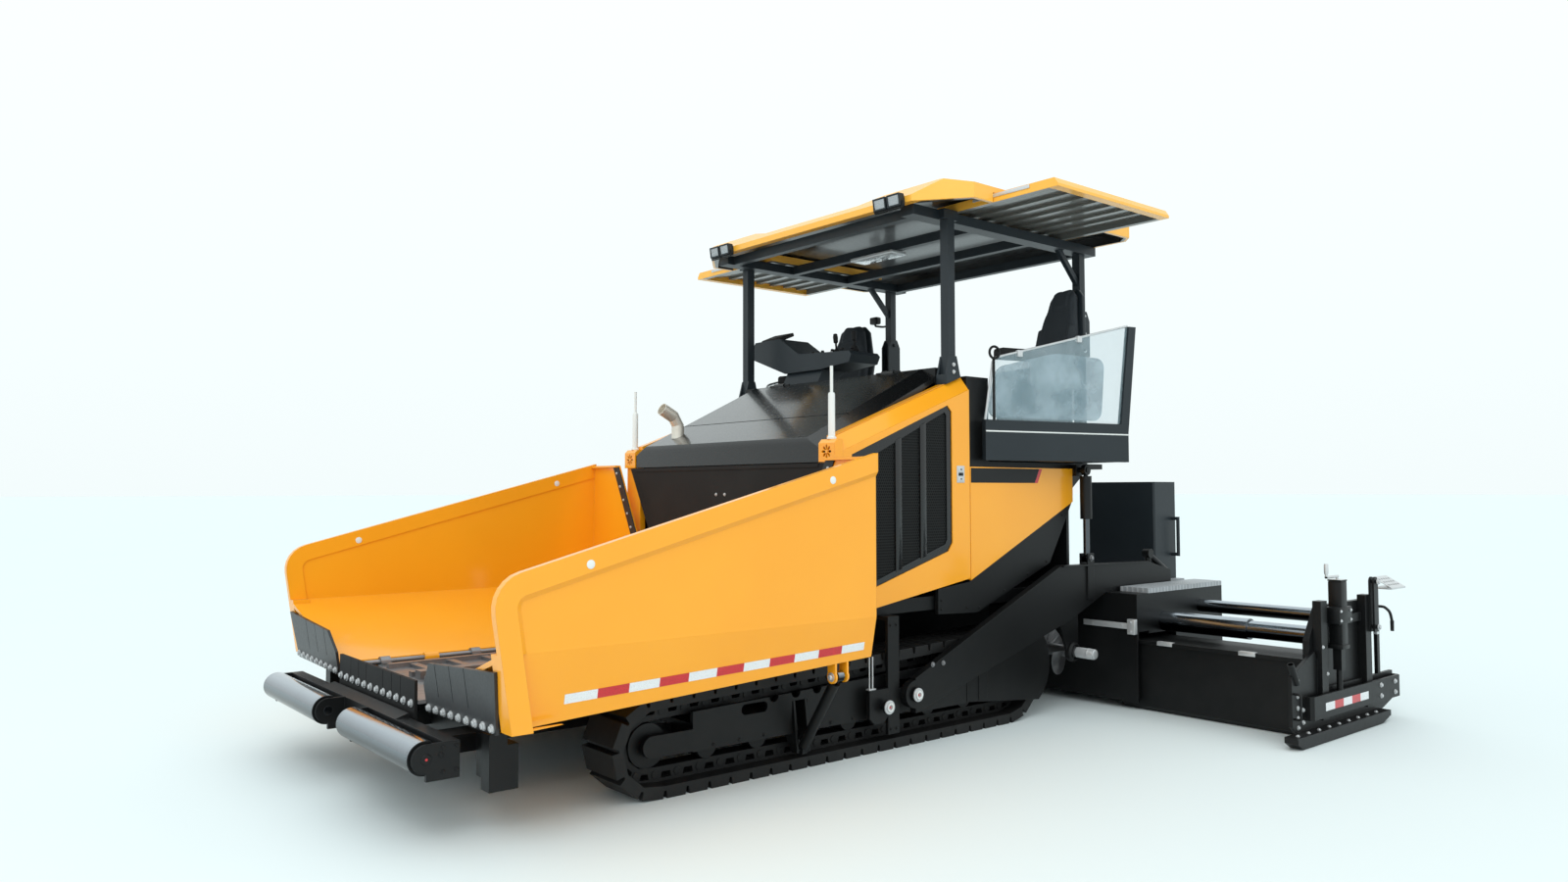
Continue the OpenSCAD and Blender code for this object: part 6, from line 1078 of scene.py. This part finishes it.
def addBack(bm, x, thick, grow, edge, segments):
    shape = seat["backShape"]
    outline = [(y + grow, z) for y, z in shape] + [(-y - grow, z) for y, z in reversed(shape)]
    addPlate(bm, [(x, y, z) for y, z in outline], (thick, 0, 0))
    soften(bm, bm.edges, edge, segments)


# an even skin blown up a little by cloth pressure, no point moving further than the reach
def stuffed(bm):
    scene = bpy.context.scene
    mesh = bpy.data.meshes.new("stuffing")
    bm.to_mesh(mesh)
    bm.free()
    form = bpy.data.objects.new("stuffing", mesh)
    scene.collection.objects.link(form)
    even = form.modifiers.new("even", "REMESH")
    even.mode, even.voxel_size = "VOXEL", seat["voxel"]
    form.data = bpy.data.meshes.new_from_object(form.evaluated_get(bpy.context.evaluated_depsgraph_get()))
    form.modifiers.clear()
    rest = [v.co.copy() for v in form.data.vertices]
    swell = form.modifiers.new("swell", "CLOTH")
    swell.settings.use_pressure = True
    swell.settings.uniform_pressure_force = seat["pressure"]
    swell.settings.effector_weights.gravity = 0.0
    swell.point_cache.frame_start, swell.point_cache.frame_end = 1, seat["frames"]
    for step in range(1, seat["frames"] + 1):
        scene.frame_set(step)
    skin = bpy.data.meshes.new_from_object(form.evaluated_get(bpy.context.evaluated_depsgraph_get()))
    for v, start in zip(skin.vertices, rest):
        shift = v.co - start
        if shift.length > seat["reach"]:
            v.co = start + shift.normalized() * seat["reach"]
    bpy.data.objects.remove(form)
    scene.frame_set(1)
    made = bmesh.new()
    made.from_mesh(skin)
    bpy.data.meshes.remove(skin)
    bmesh.ops.smooth_vert(made, verts=made.verts, factor=0.5, use_axis_x=True, use_axis_y=True,
                          use_axis_z=True)
    return made


def seatBase():
    bm = bmesh.new()
    boxesAt(*seat["base"])(bm)
    return stuffed(bm)


def seatBack():
    bm = bmesh.new()
    addBack(bm, seat["backX"], seat["backThick"], seat["backIn"], seat["backEdge"], 4)
    boxesAt(*seat["bolsters"])(bm)
    moved(bm, backPlace)
    return stuffed(bm)


pads = {"seat_base_pad": seatBase(), "seat_back_pad": seatBack()}
for name, form in pads.items():
    moved(form, stationPlace)
    for side, s in sides:
        bm = form.copy()
        mirrored(bm, s)
        pad = piece(f"{name}_{side}", bm, "seat", f"station_{side}", seat["smooth"])
        if name == "seat_base_pad":
            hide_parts(f"seat_{side}")
        smoother = pad.modifiers.new("smooth", "SUBSURF")
        smoother.levels = smoother.render_levels = 1
    form.free()
print("seats stuffed")

# stations: seat shell, window rail with clamps, inner panel, arm rest, pale strip, grab ring, post bolts
window = {"y": 0.18, "foot": (0.133, 2.13), "front": (0.055, 2.56), "rear": (-1.20, 2.87), "gap": 0.006,
          "rail": 0.009, "bend": 0.05, "clamps": (0.18, 0.62),
          "clamp": ((-0.022, -0.016, -0.030), (0.022, 0.016, 0.018)), "clampEdge": 0.004}
cabin = {"panel": ((0.095, 2.150), (-0.945, 2.150), (-0.985, 2.615), (-0.520, 2.635), (0.020, 2.505)),
         "panelY": 0.146, "panelThick": 0.020, "panelRound": 0.075,
         "rest": ((-0.46, 0.030, 2.575), (-0.05, 0.148, 2.655), 0.022, 3),
         "trim": ((-1.178, 0.1995, 2.046), (0.143, 0.2018, 2.056), 0.0008),
         "ring": (0.075, 0.215, 2.600), "ringRadius": 0.042, "ringRod": 0.009, "ringSides": 12,
         "stem": ((0.075, 0.205, 2.130), (0.075, 0.205, 2.555)), "stemRod": 0.010,
         "postBolts": ((-0.461, 1.179, (2.455, 2.505), outward, 0.014),
                       (-2.11, 1.106, (2.74, 2.88, 3.02), outward, 0.013))}


def onStation(build):
    def placed(bm):
        build(bm)
        moved(bm, stationPlace)
    return placed


def seatShell(bm):
    addBack(bm, seat["shellX"], seat["shellThick"], seat["shellOut"], seat["shellEdge"], 3)
    boxesAt(*seat["arms"])(bm)
    moved(bm, backPlace)
    addBox(bm, *seat["pan"])


def windowRail(bm):
    (x0, z0), (x1, z1), (x2, z2) = window["foot"], window["front"], window["rear"]
    y, gap = window["y"], window["gap"]
    addPipe(bm, ((x0, y, z0), (x1 + gap, y, z1 + gap), (x2, y, z2 + gap)), window["rail"], window["bend"])
    for share in window["clamps"]:
        x, z = betweenPoints(window["front"], window["rear"], share)
        low, high = ((x + a, y + b, z + c) for a, b, c in window["clamp"])
        addBox(bm, low, high, window["clampEdge"])


def innerPanel(bm):
    addPlate(bm, [(x, cabin["panelY"], z) for x, z in cabin["panel"]], (0, cabin["panelThick"], 0))
    across = [e for e in bm.edges if abs(e.verts[0].co.y - e.verts[1].co.y) > cabin["panelThick"] / 2]
    soften(bm, across, cabin["panelRound"], 6)


def grabRing(bm):
    turns = [2 * pi * k / cabin["ringSides"] for k in range(cabin["ringSides"] + 1)]
    r = cabin["ringRod"]
    addTurned(bm, [(cabin["ringRadius"] + r * cos(t), r * sin(t)) for t in turns], cabin["ring"], outward, 30)
    addPipe(bm, cabin["stem"], cabin["stemRod"])


pair("seat_shell", onStation(seatShell), "slate", "station_{}")
pair("window_rail", onStation(windowRail), "bare", "station_{}")
pair("station_inner_panel", onStation(innerPanel), "panel", "station_{}")
single("grab_ring_left", onStation(grabRing), "black", "station_left")
pair("station_rest", onStation(boxesAt(cabin["rest"])), "rubber", "station_{}")
pair("station_trim", onStation(boxesAt(cabin["trim"])), "white", "station_{}")
pair("post_bolts", boltsAt(*cabin["postBolts"]), "bare", "chassis")

# console: a tilted display, two sticks on boots and a row of knobs
console = {"display": (-0.76, -1.10, 2.962), "tilt": -68, "displayHalf": (0.016, 0.13, 0.085),
           "displayEdge": 0.010, "footZ": (2.925, 2.955), "footRadius": (0.035, 0.025), "screenOut": -0.0165,
           "screenHalf": (0.001, 0.112, 0.066), "screenEdge": 0.0006,
           "sticks": ((-0.87, -0.46, 2.775), (-0.87, -0.24, 2.775)), "stickLean": (0.1, 0, 1),
           "bootShape": ((0, 0.0), (0.040, 0.0), (0.040, 0.006), (0.030, 0.014), (0.032, 0.020),
                         (0.022, 0.028), (0.024, 0.034), (0.012, 0.044), (0, 0.044)),
           "stickShape": ((0, 0.040), (0.008, 0.040), (0.009, 0.085), (0.019, 0.095), (0.021, 0.140),
                          (0.016, 0.165), (0, 0.170)),
           "knobRow": ((-0.73, -0.60, 2.775), (-0.73, -0.12, 2.775)), "knobs": 5,
           "knobShape": ((0, 0.018), (0.011, 0.018), (0.013, 0.014), (0.015, 0.003), (0.019, 0.0), (0, 0.0))}
tilt = Matrix.Rotation(radians(console["tilt"]), 4, "Y")
display = Vector(console["display"])


def addTilted(bm, middle, half, edge, segments):
    addBox(bm, middle - Vector(half), middle + Vector(half), edge, segments, tilt)


def consoleControls(bm):
    x, y, _ = display
    (z0, z1), (r0, r1) = console["footZ"], console["footRadius"]
    addTilted(bm, display, console["displayHalf"], console["displayEdge"], 3)
    addRod(bm, (x, y, z0), (x, y, z1), r0, 20, r1)
    turnedAt(console["bootShape"], console["sticks"], upward, 28)(bm)
    turnedAt(console["stickShape"], console["sticks"], console["stickLean"], 28)(bm)
    knobs = [betweenPoints(*console["knobRow"], share) for share in shares(console["knobs"])]
    turnedAt(console["knobShape"], knobs, upward, 18)(bm)


def consoleScreen(bm):
    face = display + tilt @ Vector((console["screenOut"], 0, 0))
    addTilted(bm, face, console["screenHalf"], console["screenEdge"], 2)


single("console_controls", consoleControls, "rubber", "chassis")
single("console_screen", consoleScreen, "screen", "chassis")
print("stations dressed")

# studio: pale floor, an even sky with more light from the camera's side, one soft key, and the camera
studio = {"floorHalf": 400.0, "floor": tone(227, 235, 236), "floorCloud": tone(226, 234, 235),
          "floorShine": 0.2, "sky": (0.92, 0.995, 1.0, 1.0), "glowFrom": (0.52, 0.58, 0.63), "glow": 0.30,
          "base": 0.985, "top": 0.20,
          "keyFrom": (7.0, 6.5, 9.0), "keyAim": (0.2, 0.4, 1.0), "keySize": 5.0, "keyPower": 170,
          "camera": (5.155, 6.113, 1.637), "yaw": 50.3207, "pitch": 2.644, "roll": -0.071, "focal": 1095.49,
          "width": 1600, "sensor": 36.0}
scene = bpy.context.scene
bm = bmesh.new()
bmesh.ops.create_grid(bm, x_segments=1, y_segments=1, size=studio["floorHalf"])
mesh = bpy.data.meshes.new("floor")
bm.to_mesh(mesh)
bm.free()
ground = Finish("studio_floor")
cloudy = ground.noise(0.5, 2.0)
ground.set(Base_Color=ground.mix(cloudy, studio["floor"], studio["floorCloud"]),
           Roughness=cloudy * 0.1 + 0.75, Specular_IOR_Level=studio["floorShine"])
mesh.materials.append(ground.material)
floor = bpy.data.objects.new("floor", mesh)
scene.collection.objects.link(floor)


class Sky(Finish):
    def __init__(self, name):
        self.world = bpy.data.worlds.new(name)
        self.world.use_nodes = True
        self.tree = self.world.node_tree
        self.shader = self.tree.nodes["Background"]
        self.place = self.node("TexCoord", {}, {}, "Generated")


sky = Sky("studio")
nearby = sky.dot(sky.place, studio["glowFrom"]).most(0.0)
overhead = sky.axis("Z").most(0.0)
sky.set(Color=studio["sky"],
        Strength=nearby * nearby * studio["glow"] + overhead * studio["top"] + studio["base"])
scene.world = sky.world

keyFrom = Vector(studio["keyFrom"])
light = bpy.data.lights.new("key", "AREA")
light.size, light.energy = studio["keySize"], studio["keyPower"]
key = bpy.data.objects.new("key", light)
key.matrix_world = Matrix.Translation(keyFrom) @ along(keyFrom - Vector(studio["keyAim"]))
scene.collection.objects.link(key)

yaw, pitch, roll = (radians(studio[k]) for k in ("yaw", "pitch", "roll"))
looking = Vector((-cos(yaw) * cos(pitch), -sin(yaw) * cos(pitch), sin(pitch)))
aimed = looking.to_track_quat("-Z", "Y").to_matrix().to_4x4() @ Matrix.Rotation(roll, 4, "Z")
cameraData = bpy.data.cameras.new("camera")
cameraData.sensor_width = studio["sensor"]
cameraData.lens = studio["focal"] / studio["width"] * studio["sensor"]
camera = bpy.data.objects.new("camera", cameraData)
camera.matrix_world = Matrix.Translation(studio["camera"]) @ aimed
scene.collection.objects.link(camera)
scene.camera = camera
scene.view_settings.view_transform = "Standard"
print("studio ready")
